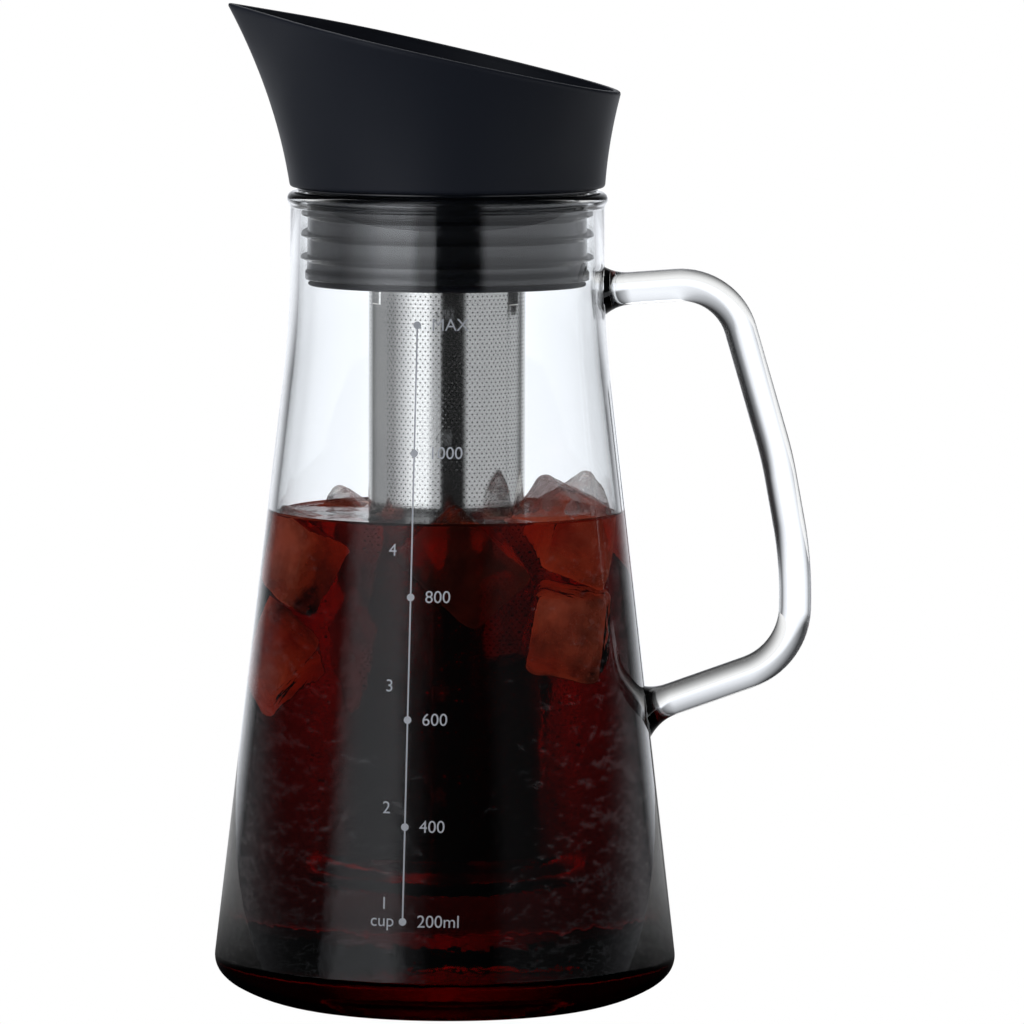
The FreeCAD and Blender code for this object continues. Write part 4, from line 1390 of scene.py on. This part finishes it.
class COLDBREW_OT_stage(bpy.types.Operator):
    """Set the floor, the studio light and the camera"""
    bl_idname = "coldbrew.stage"
    bl_label = "Set the stage"

    def execute(self, context):
        make_stage()
        return {"FINISHED"}


class COLDBREW_OT_glass(bpy.types.Operator):
    """Blow the carafe and fuse its rod handle on"""
    bl_idname = "coldbrew.glass"
    bl_label = "Make the glass"

    def execute(self, context):
        make_glass()
        return {"FINISHED"}


class COLDBREW_OT_collar(bpy.types.Operator):
    """Mould the pouring collar and the filter seat"""
    bl_idname = "coldbrew.collar"
    bl_label = "Mould the collar"

    def execute(self, context):
        make_collar()
        return {"FINISHED"}


class COLDBREW_OT_sleeve(bpy.types.Operator):
    """Mould the silicone seal sleeve"""
    bl_idname = "coldbrew.sleeve"
    bl_label = "Mould the sleeve"

    def execute(self, context):
        make_sleeve()
        return {"FINISHED"}


class COLDBREW_OT_filter(bpy.types.Operator):
    """Roll the perforated tube and add its rim and cup"""
    bl_idname = "coldbrew.filter"
    bl_label = "Make the filter"

    def execute(self, context):
        make_filter()
        return {"FINISHED"}


class COLDBREW_OT_cap(bpy.types.Operator):
    """Finish the filter cap and its gasket"""
    bl_idname = "coldbrew.cap"
    bl_label = "Make the cap"

    def execute(self, context):
        make_cap()
        return {"FINISHED"}


class COLDBREW_OT_print(bpy.types.Operator):
    """Fire the measure print onto the glass"""
    bl_idname = "coldbrew.measure_print"
    bl_label = "Print the scale"

    def execute(self, context):
        make_print()
        return {"FINISHED"}


class COLDBREW_OT_drink(bpy.types.Operator):
    """Fill the carafe with coffee and melting ice"""
    bl_idname = "coldbrew.drink"
    bl_label = "Pour the coffee"

    def execute(self, context):
        make_drink()
        return {"FINISHED"}


STEPS = (
    COLDBREW_OT_stage, COLDBREW_OT_glass, COLDBREW_OT_collar, COLDBREW_OT_sleeve,
    COLDBREW_OT_filter, COLDBREW_OT_cap, COLDBREW_OT_print, COLDBREW_OT_drink,
)


class COLDBREW_PT_panel(bpy.types.Panel):
    """Sizes, colours and steps of the carafe"""
    bl_idname = "COLDBREW_PT_panel"
    bl_label = "Cold Brew Carafe"
    bl_space_type = "VIEW_3D"
    bl_region_type = "UI"
    bl_category = "Cold Brew"

    def draw(self, context):
        for name, group in SIZE_GROUPS:
            box = self.layout.box()
            box.label(text=group.__name__)
            for prop in group.__annotations__:
                box.prop(getattr(context.scene, name), prop)
        for step in STEPS:
            self.layout.operator(step.bl_idname)


SIZE_GROUPS = (
    ("carafe_sizes", CarafeSizes), ("collar_sizes", CollarSizes), ("filter_sizes", FilterSizes),
    ("drink_sizes", DrinkSizes), ("stage_sizes", StageSizes),
)


def register():
    for name, group in SIZE_GROUPS:
        bpy.utils.register_class(group)
        setattr(bpy.types.Scene, name, PointerProperty(type=group))
    for step in STEPS:
        bpy.utils.register_class(step)
    bpy.utils.register_class(COLDBREW_PT_panel)


def unregister():
    bpy.utils.unregister_class(COLDBREW_PT_panel)
    for step in reversed(STEPS):
        bpy.utils.unregister_class(step)
    for name, group in reversed(SIZE_GROUPS):
        delattr(bpy.types.Scene, name)
        bpy.utils.unregister_class(group)


def main():
    register()
    for step in STEPS:
        group, call = step.bl_idname.split(".")
        getattr(getattr(bpy.ops, group), call)()


if __name__ == "__main__":
    main()
